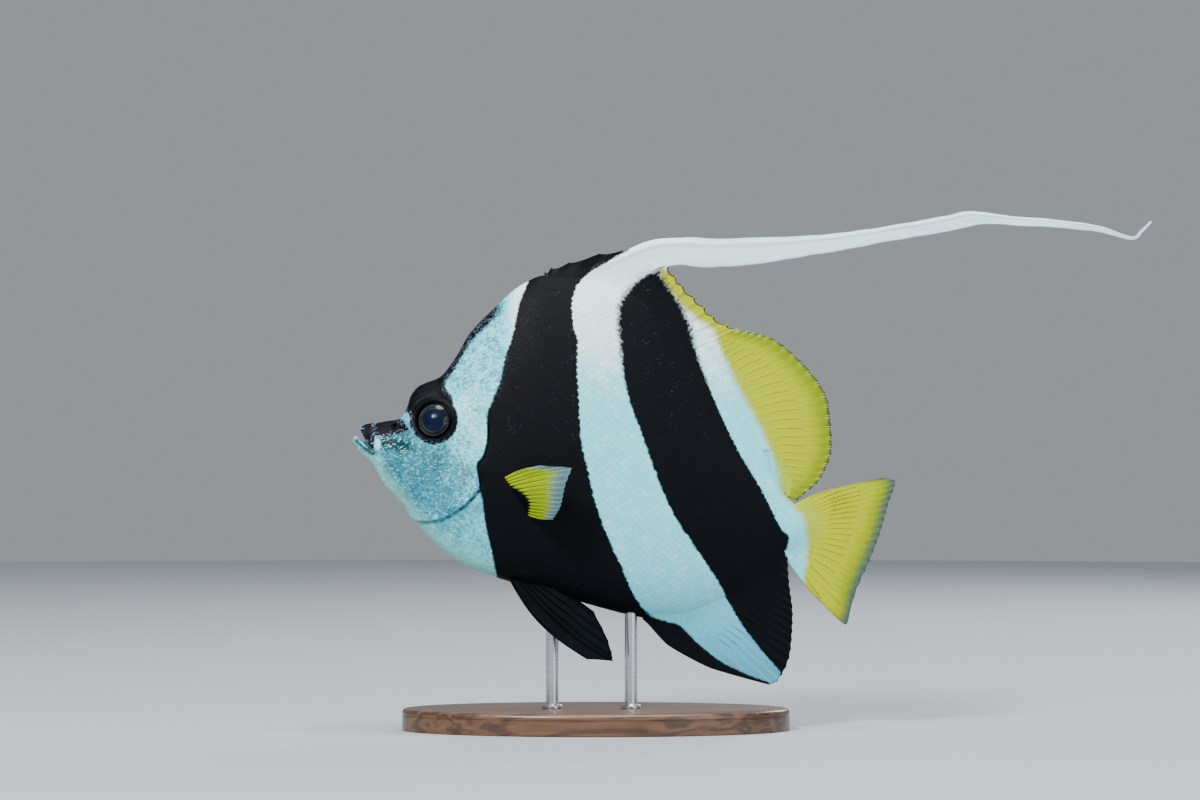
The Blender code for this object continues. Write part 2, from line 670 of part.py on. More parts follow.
def make_eye(name, side, grow, collection):
    """Makes an eye, or the socket round it when grow is more than nothing."""
    normal = flank_normal(EYE[0], EYE[1], side)
    surface = Vector((EYE[0], side * flank(*EYE), EYE[1]))
    centre = surface + normal * (EYE_PROUD - EYE_DEPTH)
    shape = bmesh.new()
    bmesh.ops.create_uvsphere(shape, u_segments=EYE_SEGMENTS, v_segments=EYE_RINGS, radius=1.0)
    stretch = Matrix.Diagonal((EYE_RADIUS + grow, EYE_RADIUS + grow, EYE_DEPTH + grow))
    turned = normal.to_track_quat("Z", "Y").to_matrix()
    for vertex in shape.verts:
        vertex.co = Vector(place(*(centre + turned @ (stretch @ vertex.co))))
    bmesh.ops.triangulate(shape, faces=shape.faces)
    bmesh.ops.recalc_face_normals(shape, faces=shape.faces)
    mesh = bpy.data.meshes.new(name)
    shape.to_mesh(mesh)
    shape.free()
    eye = bpy.data.objects.new(name, mesh)
    collection.objects.link(eye)
    return eye


def make_gill_plate(name, side, collection):
    """Makes the gill cover of one side as a plate whose free rear edge stands off the flank."""
    columns = GILL_PLATE_COLUMNS
    rows = GILL_PLATE_ROWS
    rear = shifted(curve_through(GILL_EDGE[GILL_PLATE_TOP:-1], columns), GILL_PLATE_LAP)
    front = curve_through(CHEEK_EDGE, columns)
    outer = []
    inner = []
    for i in range(rows):
        t = i / (rows - 1)
        for j in range(columns):
            x, z = front[j] * (1.0 - t) + rear[j] * t
            skin = flank(x, z)
            ends = math.sin(math.pi * min(max(j / (columns - 1), 0.04), 0.96)) ** 0.35
            proud = (CHEEK_PROUD + (GILL_PLATE_PROUD - CHEEK_PROUD) * t) * ends
            normal = flank_normal(x, z, side)
            surface = Vector((x, side * skin, z))
            outer.append(place(*(surface + normal * proud)))
            inner.append(place(*(surface - normal * PLATE_ROOT)))
    return make_object(name, outer + inner, shell_faces(rows, columns), collection)


def make_head(body, collection, cutters):
    """Makes the head: lips, open mouth, nostrils, lids, eye sockets and gill covers on its flesh."""
    head = body.copy()
    head.data = body.data.copy()
    head.name = "head"
    collection.objects.link(head)
    extras = [make_gill_plate("gill_plate_" + str(side), side, cutters) for side in (-1.0, 1.0)]
    combine(head, extras, "UNION")
    discard(extras)
    keep = make_prism("head_block", head_outline(0.0), BLOCK_HALF_DEPTH, cutters)
    combine(head, [keep], "INTERSECT")
    mouth = make_prism("mouth_cut", MOUTH_LOWER_EDGE + MOUTH_UPPER_EDGE, MOUTH_HALF_DEPTH, cutters)
    combine(head, [mouth], "DIFFERENCE")
    discard([keep, mouth])
    forms = [make_lip("upper_lip", UPPER_LIP, cutters), make_lip("lower_lip", LOWER_LIP, cutters)]
    for side in (-1.0, 1.0):
        lid_normal = flank_normal(EYE[0], EYE[1], side)
        lid_centre = Vector((EYE[0], side * flank(*EYE), EYE[1])) - lid_normal * LID_SINK
        forms.append(make_ring("lid", lid_centre, lid_normal, LID_RADIUS, LID_ROLL, LID_SIDES, cutters))
        for x, z, radius in NOSTRILS:
            normal = flank_normal(x, z, side)
            centre = Vector((x, side * flank(x, z), z)) + normal * NOSTRIL_PROUD
            forms.append(make_ring("nostril", centre, normal, radius, NOSTRIL_ROLL, NOSTRIL_SIDES, cutters))
    combine(head, forms, "UNION")
    discard(forms)
    sockets = [make_eye("socket", side, GAP, cutters) for side in (-1.0, 1.0)]
    combine(head, sockets, "DIFFERENCE")
    discard(sockets)
    return head


def make_trunk(body, collection, cutters):
    """Makes the torso and the tail stalk from the body behind the head."""
    torso = body.copy()
    torso.data = body.data.copy()
    torso.name = "torso"
    collection.objects.link(torso)
    head_room = make_prism("head_room", head_outline(GAP), BLOCK_HALF_DEPTH, cutters)
    combine(torso, [head_room], "DIFFERENCE")
    discard([head_room])
    stalk = torso.copy()
    stalk.data = torso.data.copy()
    stalk.name = "tail_stalk"
    collection.objects.link(stalk)
    front = STALK_STATION - 0.5 * GAP
    rear = STALK_STATION + 0.5 * GAP
    ahead = [(AHEAD, BENEATH), (front, BENEATH), (front, ABOVE), (AHEAD, ABOVE)]
    behind = [(rear, BENEATH), (BEHIND, BENEATH), (BEHIND, ABOVE), (rear, ABOVE)]
    front_block = make_prism("front_block", ahead, BLOCK_HALF_DEPTH, cutters)
    rear_block = make_prism("rear_block", behind, BLOCK_HALF_DEPTH, cutters)
    combine(torso, [front_block], "INTERSECT")
    combine(stalk, [rear_block], "INTERSECT")
    discard([front_block, rear_block])
    return torso, stalk


def make_fins(collection, cutters):
    """Makes all the fins, each trimmed to meet the body's skin face to face."""
    room = make_body("body_room", GAP, cutters)
    fins = [(fin, fin.make(collection)) for fin in (DORSAL_FRONT, DORSAL_REAR, DORSAL_SOFT, ANAL, CAUDAL)]
    pennant_room = make_pennant(PENNANT_ROOM, GAP, cutters)
    for fin, piece in fins[:2]:
        combine(piece, pennant_room, "DIFFERENCE", "MANIFOLD")
    discard(pennant_room)
    fins += make_pair("pectoral_fin", "fin_yellow", PECTORAL_KEYS, 5, 0.75, 0.3, (0.8, -0.6), 1.4, collection)
    fins += make_pair("pelvic_fin", "fin_dark", PELVIC_KEYS, 5, 0.75, 0.3, (-3.2, 1.0), 0.5, collection)
    for fin, piece in fins:
        combine(piece, [room], "DIFFERENCE", "MANIFOLD")
        dress(piece, fin.finish)
    for length in make_pennant(PENNANT_LENGTHS, 0.0, collection):
        if length.name == "pennant_root":
            combine(length, [room], "DIFFERENCE", "MANIFOLD")
        dress(length, "fin_white")
    return room


def make_stand(room, collection, cutters):
    """Makes the oval base and the two rods that hold the body up."""
    shape = bmesh.new()
    bmesh.ops.create_cone(
        shape, cap_ends=True, segments=BASE_SIDES, radius1=0.5, radius2=0.5, depth=BASE_HEIGHT * MM,
    )
    for vertex in shape.verts:
        vertex.co.x *= BASE_LENGTH * MM
        vertex.co.y *= BASE_WIDTH * MM
        vertex.co.z += 0.5 * BASE_HEIGHT * MM
    mesh = bpy.data.meshes.new("stand_base")
    shape.to_mesh(mesh)
    shape.free()
    base = bpy.data.objects.new("stand_base", mesh)
    collection.objects.link(base)
    bevel = base.modifiers.new("edge", "BEVEL")
    bevel.width = BASE_EDGE * MM
    bevel.segments = 2
    bevel.limit_method = "ANGLE"
    bevel.angle_limit = math.radians(BASE_EDGE_ANGLE)
    apply_modifiers(base)
    sockets = []
    for name, station in ROD_STATIONS:
        bottom = BASE_HEIGHT - ROD_SOCKET
        top = low_line(station) + LIFT + ROD_OVERLAP
        rod = make_rod(name, station, bottom + GAP, top, ROD_RADIUS, collection)
        combine(rod, [room], "DIFFERENCE")
        dress(rod, "rod_steel")
        above = BASE_HEIGHT + ROD_SOCKET
        sockets.append(make_rod(name + "_socket", station, bottom, above, ROD_RADIUS + GAP, cutters))
    combine(base, sockets, "DIFFERENCE")
    discard(sockets)
    dress(base, "base_wood")


def make_rod(name, station, bottom, top, radius, collection):
    """Makes an upright round rod under a station of the body, from bottom to top over the floor."""
    shape = bmesh.new()
    bmesh.ops.create_cone(
        shape, cap_ends=True, segments=ROD_SIDES, radius1=radius * MM, radius2=radius * MM,
        depth=(top - bottom) * MM,
        matrix=Matrix.Translation(((station + SNOUT_X) * MM, 0.0, 0.5 * (top + bottom) * MM)),
    )
    mesh = bpy.data.meshes.new(name)
    shape.to_mesh(mesh)
    shape.free()
    rod = bpy.data.objects.new(name, mesh)
    collection.objects.link(rod)
    return rod


def main():
    """Builds the fish and its stand."""
    for leftover in list(bpy.data.objects):
        bpy.data.objects.remove(leftover)
    model = bpy.data.collections.new("pennant_coralfish")
    cutters = bpy.data.collections.new("cutters")
    bpy.context.scene.collection.children.link(model)
    bpy.context.scene.collection.children.link(cutters)
    body = make_body("body_whole", 0.0, cutters)
    head = make_head(body, model, cutters)
    torso, stalk = make_trunk(body, model, cutters)
    discard([body])
    dress(head, "skin_silver")
    dress(torso, "skin_banded")
    dress(stalk, "skin_tail")
    for name, side in (("eye_left", -1.0), ("eye_right", 1.0)):
        dress(make_eye(name, side, 0.0, model), "eye_glass")
    room = make_fins(model, cutters)
    make_stand(room, model, cutters)
    discard([room])


main()
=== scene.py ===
"""Looks of the pennant coralfish model: skin, scales, fins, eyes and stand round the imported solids.

The fish's own sizes are in millimetres, as in the solids' source: x runs back from the tip of
the lower lip, z up from the lowest tip of the anal fin, and y out from the middle plane, with
the fish's left side towards -Y. to_world() turns them into the scene's metres, where the origin
is the middle of the underside of the stand.
"""

import json
import logging
import math
from dataclasses import dataclass
from enum import Enum

import bmesh
import bpy
import numpy as np
from mathutils import Matrix, Vector
from mathutils.bvhtree import BVHTree

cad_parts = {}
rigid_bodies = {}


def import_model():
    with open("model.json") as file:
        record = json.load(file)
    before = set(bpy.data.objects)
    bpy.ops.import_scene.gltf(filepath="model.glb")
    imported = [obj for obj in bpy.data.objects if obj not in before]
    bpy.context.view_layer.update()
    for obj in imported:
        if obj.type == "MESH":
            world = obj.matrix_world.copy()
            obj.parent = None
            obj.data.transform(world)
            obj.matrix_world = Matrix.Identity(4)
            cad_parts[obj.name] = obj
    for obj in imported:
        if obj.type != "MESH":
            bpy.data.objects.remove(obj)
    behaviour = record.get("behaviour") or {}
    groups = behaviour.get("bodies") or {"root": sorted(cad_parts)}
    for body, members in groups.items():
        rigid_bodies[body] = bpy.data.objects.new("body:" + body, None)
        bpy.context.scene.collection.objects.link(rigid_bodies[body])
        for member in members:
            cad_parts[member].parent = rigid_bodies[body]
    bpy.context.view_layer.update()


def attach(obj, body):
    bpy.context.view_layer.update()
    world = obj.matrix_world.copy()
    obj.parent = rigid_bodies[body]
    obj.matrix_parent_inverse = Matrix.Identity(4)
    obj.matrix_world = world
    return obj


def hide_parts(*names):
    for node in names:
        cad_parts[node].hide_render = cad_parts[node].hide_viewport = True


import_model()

Array = np.ndarray
Points = tuple[tuple[float, ...], ...]
Colour = tuple[float, float, float]

LOG = logging.getLogger("pennant_coralfish")

MM = 0.001
ROOT_BODY = "root"
SNOUT_X = -78.0
BASE_HEIGHT = 7.0
FIN_CLEARANCE = 7.5
LIFT = BASE_HEIGHT + FIN_CLEARANCE
SKIN_DEPTH = 0.28
FAR = 99.0
BAKE_MAP = "OFBake"
BAKE_PATCH = 0.003


class Side(Enum):
    """The two sides of the fish, with the sign of y on each."""

    LEFT = -1.0
    RIGHT = 1.0


def to_world(points: Array) -> Array:
    """Turns points of the fish, in millimetres, into points of the scene in metres."""
    return (np.asarray(points, dtype=float) + np.array([SNOUT_X, 0.0, LIFT])) * MM


def to_fish(points: Array) -> Array:
    """Turns points of the scene, in metres, into points of the fish in millimetres."""
    return np.asarray(points, dtype=float) / MM - np.array([SNOUT_X, 0.0, LIFT])


def ease(value: Array, low: float, high: float) -> Array:
    """Rises smoothly from 0 at low to 1 at high, or falls where low is the larger.

    Args:
        value: the numbers to ease.
        low: where the result is 0.
        high: where the result is 1.

    Returns:
        One share from 0 to 1 for each number.
    """
    share = np.clip((np.asarray(value, dtype=float) - low) / (high - low), 0.0, 1.0)
    return share * share * (3.0 - 2.0 * share)


def hump(value: Array, width: float) -> Array:
    """Returns a bell that is 1 where value is 0 and falls off over the given width."""
    return np.exp(-((np.asarray(value, dtype=float) / width) ** 2))


class Line:
    """A smooth line through (place, value) points that never overshoots them."""

    def __init__(self, points: Points) -> None:
        """Works out the tangents of the line.

        Args:
            points: (place, value) pairs with rising places.
        """
        self.xs, self.ys = np.array(points, dtype=float).T
        self.steps = np.diff(self.xs)
        slopes = np.diff(self.ys) / self.steps
        self.tangents = np.zeros(len(self.xs))
        self.tangents[0] = slopes[0]
        self.tangents[-1] = slopes[-1]
        for i in range(1, len(self.xs) - 1):
            if slopes[i - 1] * slopes[i] > 0.0:
                before = 2.0 * self.steps[i] + self.steps[i - 1]
                after = self.steps[i] + 2.0 * self.steps[i - 1]
                self.tangents[i] = (before + after) / (before / slopes[i - 1] + after / slopes[i])

    def __call__(self, x: Array) -> Array:
        """Returns the line's value at each place."""
        x = np.clip(np.asarray(x, dtype=float), self.xs[0], self.xs[-1])
        i = np.clip(np.searchsorted(self.xs, x) - 1, 0, len(self.steps) - 1)
        step = self.steps[i]
        t = (x - self.xs[i]) / step
        rise = (3.0 - 2.0 * t) * t * t
        leave = (t * t * t - 2.0 * t * t + t) * step
        arrive = (t * t * t - t * t) * step
        bend = leave * self.tangents[i] + arrive * self.tangents[i + 1]
        return self.ys[i] * (1.0 - rise) + self.ys[i + 1] * rise + bend


def curve_through(points: Points, count: int) -> Array:
    """Returns points evenly spread along a smooth curve through the given ones.

    Args:
        points: the curve's own points, of any dimension.
        count: how many points to return.

    Returns:
        An array with one row for each point.
    """
    controls = np.array(points, dtype=float)
    before = 2.0 * controls[0] - controls[1]
    after = 2.0 * controls[-1] - controls[-2]
    padded = np.vstack([before, controls, after])
    fine = []
    for i in range(1, len(padded) - 2):
        a, b, c, d = padded[i - 1:i + 3]
        for t in np.linspace(0.0, 1.0, 24, endpoint=False):
            bend = (2.0 * a - 5.0 * b + 4.0 * c - d) * t * t
            twist = (3.0 * b - a - 3.0 * c + d) * t * t * t
            fine.append(0.5 * (2.0 * b + (c - a) * t + bend + twist))
    fine.append(controls[-1])
    fine = np.array(fine)
    run = np.concatenate([[0.0], np.cumsum(np.linalg.norm(np.diff(fine, axis=0), axis=1))])
    wanted = np.linspace(0.0, run[-1], count)
    return np.column_stack([np.interp(wanted, run, fine[:, k]) for k in range(fine.shape[1])])


def inside_distance(spots: Array, outline: Array) -> Array:
    """Returns how far each spot of the side view lies inside a closed outline, negative outside.

    Args:
        spots: (x, z) rows in millimetres.
        outline: the outline's corners.

    Returns:
        One signed distance in millimetres for each spot.
    """
    start = np.asarray(outline, dtype=float)
    end = np.roll(start, -1, axis=0)
    run = end - start
    length = np.maximum((run ** 2).sum(axis=1), 1e-12)
    result = np.empty(len(spots))
    block = 20000
    for first in range(0, len(spots), block):
        p = spots[first:first + block, None, :]
        t = np.clip(((p - start) * run).sum(axis=2) / length, 0.0, 1.0)
        away = np.linalg.norm(p - (start + t[:, :, None] * run), axis=2).min(axis=1)
        straddles = (start[:, 1] > p[:, :, 1]) != (end[:, 1] > p[:, :, 1])
        rise = np.where(np.abs(run[:, 1]) < 1e-12, 1e-12, run[:, 1])
        ahead = p[:, :, 0] < run[:, 0] * (p[:, :, 1] - start[:, 1]) / rise + start[:, 0]
        within = (straddles & ahead).sum(axis=1) % 2 == 1
        result[first:first + block] = np.where(within, away, -away)
    return result


def path_distance(spots: Array, path: Array) -> Array:
    """Returns how far each (x, z) spot lies from a path of close points of the side view."""
    result = np.empty(len(spots))
    block = 20000
    for first in range(0, len(spots), block):
        gaps = spots[first:first + block, None, :] - path[None]
        result[first:first + block] = np.sqrt((gaps ** 2).sum(axis=2)).min(axis=1)
    return result


TOP_LINE = Line((
    (0.0, 78.3), (1.4, 79.9), (2.5, 81.9), (4.2, 83.2), (6.7, 83.6), (11.6, 84.6), (15.6, 85.7),
    (17.4, 88.9), (18.6, 92.6), (20.9, 95.5), (23.8, 97.0), (27.8, 98.6), (32.8, 104.6),
    (37.5, 112.6), (45.1, 120.5), (54.2, 128.2), (61.0, 131.2), (71.0, 131.6), (80.1, 129.8),
    (92.1, 125.3), (102.1, 117.8), (112.1, 107.3), (122.1, 93.8), (130.1, 79.3), (136.1, 66.3),
    (139.3, 60.6), (142.1, 57.6), (144.5, 54.4), (145.6, 50.8),
))
LOW_LINE = Line((
    (0.0, 77.9), (0.9, 76.7), (2.3, 74.5), (4.9, 72.3), (7.4, 69.1), (10.5, 63.7), (15.9, 57.6),
    (24.0, 47.3), (34.5, 38.9), (46.0, 34.1), (62.1, 29.6), (77.4, 25.0), (89.5, 21.9),
    (96.1, 20.8), (104.1, 20.9), (114.1, 23.8), (124.1, 29.3), (132.1, 35.8), (138.6, 41.6),
    (142.1, 43.6), (144.5, 46.6), (145.6, 50.2),
))
WIDEST_LEVEL = Line((
    (0.0, 78.1), (7.0, 76.3), (15.6, 73.0), (28.0, 71.0), (47.0, 68.0), (72.0, 66.0),
    (102.0, 61.0), (127.0, 55.0), (141.0, 50.5), (145.6, 50.5),
))
HALF_WIDTH = Line((
    (0.0, 0.7), (1.4, 2.2), (4.2, 3.4), (7.0, 4.1), (12.0, 5.3), (18.0, 7.3), (26.4, 9.3),
    (38.0, 11.5), (52.0, 12.8), (68.0, 13.0), (90.0, 11.8), (108.0, 9.4), (124.0, 6.6),
    (136.0, 4.3), (142.0, 3.2), (144.5, 2.1), (145.6, 0.6),
))
BACK_SLOPE = Line((
    (0.0, 1.0), (20.0, 0.8), (30.0, 0.85), (50.0, 1.2), (70.0, 1.55), (125.0, 1.6), (140.0, 1.1),
    (145.6, 1.0),
))
BELLY_SLOPE = Line((
    (0.0, 1.0), (15.0, 0.9), (45.0, 0.95), (75.0, 1.1), (95.0, 1.35), (125.0, 1.5), (140.0, 1.1),
    (145.6, 1.0),
))
BACK_RIDGE = Line(((0.0, 0.0), (50.0, 0.0), (64.0, 1.3), (132.0, 1.2), (143.0, 0.0)))
BELLY_RIDGE = Line(((0.0, 0.0), (80.0, 0.0), (98.0, 1.3), (130.0, 1.2), (143.0, 0.0)))

EYE = (26.4, 84.7)
GILL_EDGE = (
    (30.0, 117.5), (36.0, 108.0), (41.0, 96.0), (43.3, 86.0), (43.6, 79.0), (42.2, 73.2),
    (40.2, 70.6), (41.3, 64.3), (39.7, 61.3), (34.6, 56.5), (28.2, 53.2), (22.0, 52.8),
    (14.0, 54.5),
)
CHEEK_EDGE = ((35.5, 88.0), (34.5, 78.0), (32.5, 70.0), (28.0, 64.0), (21.0, 60.5), (16.0, 60.0))
NOSTRILS = ((13.9, 82.9, 0.8), (16.2, 83.9, 1.0))


@dataclass(frozen=True)
class BodyForm:
    """The flesh's outer shape, on the lines that the solids are lofted from."""

    length: float = 145.6
    orbit_swell: float = 1.1
    orbit_reach: float = 10.0

    def swell(self, x: Array, z: Array) -> Array:
        """Returns how far the head swells out round the eye."""
        distance = np.hypot(x - EYE[0], z - EYE[1]) / self.orbit_reach
        return self.orbit_swell * np.exp(-distance ** 4)

    def share(self, x: Array, height: Array, upper: Array) -> Array:
        """Returns the flank's distance from the middle plane at a height from 0 to 1, the edge."""
        slope = np.where(upper, BACK_SLOPE(x), BELLY_SLOPE(x))
        ridge = np.where(upper, BACK_RIDGE(x), BELLY_RIDGE(x))
        rest = np.maximum(1.0 - height * height, 0.0)
        return (HALF_WIDTH(x) - ridge) * rest ** (0.5 * slope) + ridge * rest ** 0.25

    def height(self, x: Array, z: Array) -> tuple[Array, Array]:
        """Returns how far a spot lies from the widest level, 0, to the edge, 1, and if it is above."""
        middle = WIDEST_LEVEL(x)
        upper = z >= middle
        edge = np.where(upper, TOP_LINE(x), LOW_LINE(x))
        return np.clip(np.abs((z - middle) / (edge - middle)), 0.0, 1.0), upper

    def flank(self, x: Array, z: Array) -> Array:
        """Returns the distance of the body's side from the middle plane."""
        height, upper = self.height(x, z)
        return self.share(x, height, upper) + self.swell(x, z) * (1.0 - height ** 8)

    def normal(self, x: Array, z: Array, side: float) -> Array:
        """Returns the direction that the body's side faces, as unit rows."""
        step = 0.8
        along = (self.flank(x + step, z) - self.flank(x - step, z)) / (2.0 * step)
        upward = (self.flank(x, z + step) - self.flank(x, z - step)) / (2.0 * step)
        rows = np.stack([-along, np.full_like(along, side), -upward], axis=-1)
        return rows / np.linalg.norm(rows, axis=-1, keepdims=True)

    def ring(self, x: Array, turn: Array, sink: float) -> Array:
        """Returns points of the body's surface, sunk below it.

        Args:
            x: station of each point.
            turn: its place round the ring, 0 at the back and half a turn at the belly.
            sink: how deep below the solids' surface it lies.

        Returns:
            Rows of (x, y, z) in the fish's millimetres.
        """
        cos = np.cos(turn)
        height = np.abs(cos)
        upper = cos >= 0.0
        middle = WIDEST_LEVEL(x)
        edge = np.where(upper, TOP_LINE(x), LOW_LINE(x))
        z = middle + (edge - middle) * height
        y = self.share(x, height, upper) + self.swell(x, z) * (1.0 - height ** 8)
        y = np.maximum(y - np.abs(np.sin(turn)) * sink, 0.0)
        side = np.where(turn < math.pi, Side.LEFT.value, Side.RIGHT.value)
        pole = np.abs(np.sin(turn)) < 1e-9
        y = np.where(pole, 0.0, y)
        end = (x - 0.5 * self.length) / (0.5 * self.length)
        return np.stack([x - sink * end ** 3, side * y, z - cos * sink], axis=-1)


FORM = BodyForm()


def gill_distance(x: Array, z: Array) -> Array:
    """Returns how far a spot lies ahead of the gill cover's rear edge, negative behind it."""
    edge = curve_through(GILL_EDGE, 60)
    outline = [(-20.0, 150.0), (edge[0][0], 150.0)]
    outline += [tuple(p) for p in edge]
    outline += [(edge[-1][0], 40.0), (-20.0, 40.0)]
    return inside_distance(np.column_stack([x, z]), np.array(outline))


def eye_frame(side: Side) -> tuple[Vector, Matrix]:
    """Returns the middle of an eye, in the fish's millimetres, and its turn, with z facing out."""
    normal = Vector(FORM.normal(np.array(EYE[0]), np.array(EYE[1]), side.value))
    surface = Vector((EYE[0], side.value * float(FORM.flank(np.array(EYE[0]), np.array(EYE[1]))), EYE[1]))
    return surface + normal * (Eye.proud - Eye.depth), normal.to_track_quat("Z", "Y").to_matrix()


BAND_ONE_FRONT = (
    (46.1, 34.1), (44.3, 43.5), (42.3, 52.7), (41.4, 59.9), (40.9, 64.2), (40.2, 69.9), (42.3, 73.6),
    (43.4, 79.0), (43.4, 86.0), (44.9, 91.8), (46.9, 96.7), (48.7, 104.6), (51.2, 112.0), (53.0, 121.1),
    (55.9, 128.5),
)
BAND_ONE_REAR = (
    (133.5, 0.7), (126.6, 3.3), (118.1, 7.5), (109.5, 14.4), (104.3, 19.5), (95.7, 22.1), (89.8, 29.0),
    (85.5, 38.4), (81.2, 47.8), (76.9, 59.8), (74.8, 69.0), (72.6, 79.4), (72.0, 90.4), (71.4, 102.7),
    (71.7, 108.8), (70.5, 114.9), (69.9, 121.0), (71.4, 127.1), (75.7, 131.4), (81.8, 135.2), (88.6, 139.1),
)
BAND_TWO_FRONT = (
    (136.9, 4.1), (130.9, 11.0), (123.2, 21.3), (116.3, 33.3), (107.7, 46.1), (103.8, 51.8), (99.6, 59.8),
    (95.9, 69.0), (92.2, 79.4), (88.5, 89.2), (86.1, 99.0), (84.9, 108.8), (84.3, 114.9), (84.5, 121.0),
    (87.3, 125.9), (92.8, 130.8), (98.3, 133.2),
)
BAND_TWO_REAR = (
    (160.0, 36.0), (141.5, 40.0), (138.6, 41.8), (139.3, 47.3), (136.9, 50.0), (133.8, 56.1), (129.6, 64.1),
    (124.0, 73.3), (118.5, 84.3), (114.9, 92.9), (110.6, 105.1), (108.1, 114.9), (105.7, 121.0),
    (102.6, 125.9), (99.0, 131.0),
)
YELLOW_EDGE = (
    (144.5, 36.6), (145.2, 38.8), (145.2, 44.3), (144.8, 49.9), (143.4, 54.3), (141.5, 56.5), (137.5, 61.0),
    (135.1, 70.2), (131.4, 79.4), (126.5, 88.6), (121.6, 97.8), (117.9, 106.3), (115.5, 113.1),
    (109.0, 118.1), (105.2, 121.6), (101.8, 126.3), (98.6, 130.0), (98.8, 132.4), (114.0, 135.0),
)
LIP_FOLD = ((1.2, 78.0), (2.2, 77.4), (3.4, 76.3), (5.3, 75.0), (7.2, 73.9))
FOREHEAD_PATCH = (
    (14.5, 86.8), (16.2, 95.5), (22.0, 101.0), (30.0, 106.0), (34.0, 112.5), (37.4, 114.0), (35.5, 107.1),
    (34.2, 105.2), (32.3, 100.7), (30.4, 98.1), (30.0, 94.9), (32.0, 92.7), (33.2, 87.9), (26.4, 82.0),
    (20.0, 84.0), (17.8, 87.0),
)
SNOUT_PATCH = (
    (6.6, 86.0), (12.5, 87.5), (15.8, 88.6), (15.6, 84.9), (17.2, 83.4), (18.4, 81.8), (16.6, 80.7),
    (13.8, 80.0), (11.0, 79.6), (6.6, 79.4),
)
JAW_PATCH = (
    (2.9, 86.0), (7.55, 86.0), (7.5, 80.0), (7.1, 75.0), (5.6, 75.0), (4.2, 77.4), (2.6, 80.3), (2.75, 82.0),
)
MOUTH_LOWER_EDGE = ((-1.0, 81.2), (2.0, 78.9), (3.6, 77.3), (5.4, 75.7), (7.5, 74.2))
MOUTH_UPPER_EDGE = ((7.5, 74.6), (6.3, 75.9), (5.2, 77.5), (4.4, 79.3), (3.2, 81.2), (0.5, 83.4))


class EdgeLine:
    """A marking's edge on the side view, with one place along the fish at each level."""

    def __init__(self, points: Points) -> None:
        """Takes (x, z) points with rising z."""
        self.line = Line(tuple((z, x) for x, z in points))

    def behind(self, x: Array, z: Array) -> Array:
        """Returns how far a spot lies behind the edge, in millimetres, negative ahead of it."""
        step = 0.4
        slope = (self.line(z + step) - self.line(z - step)) / (2.0 * step)
        return (x - self.line(z)) / np.sqrt(1.0 + slope * slope)


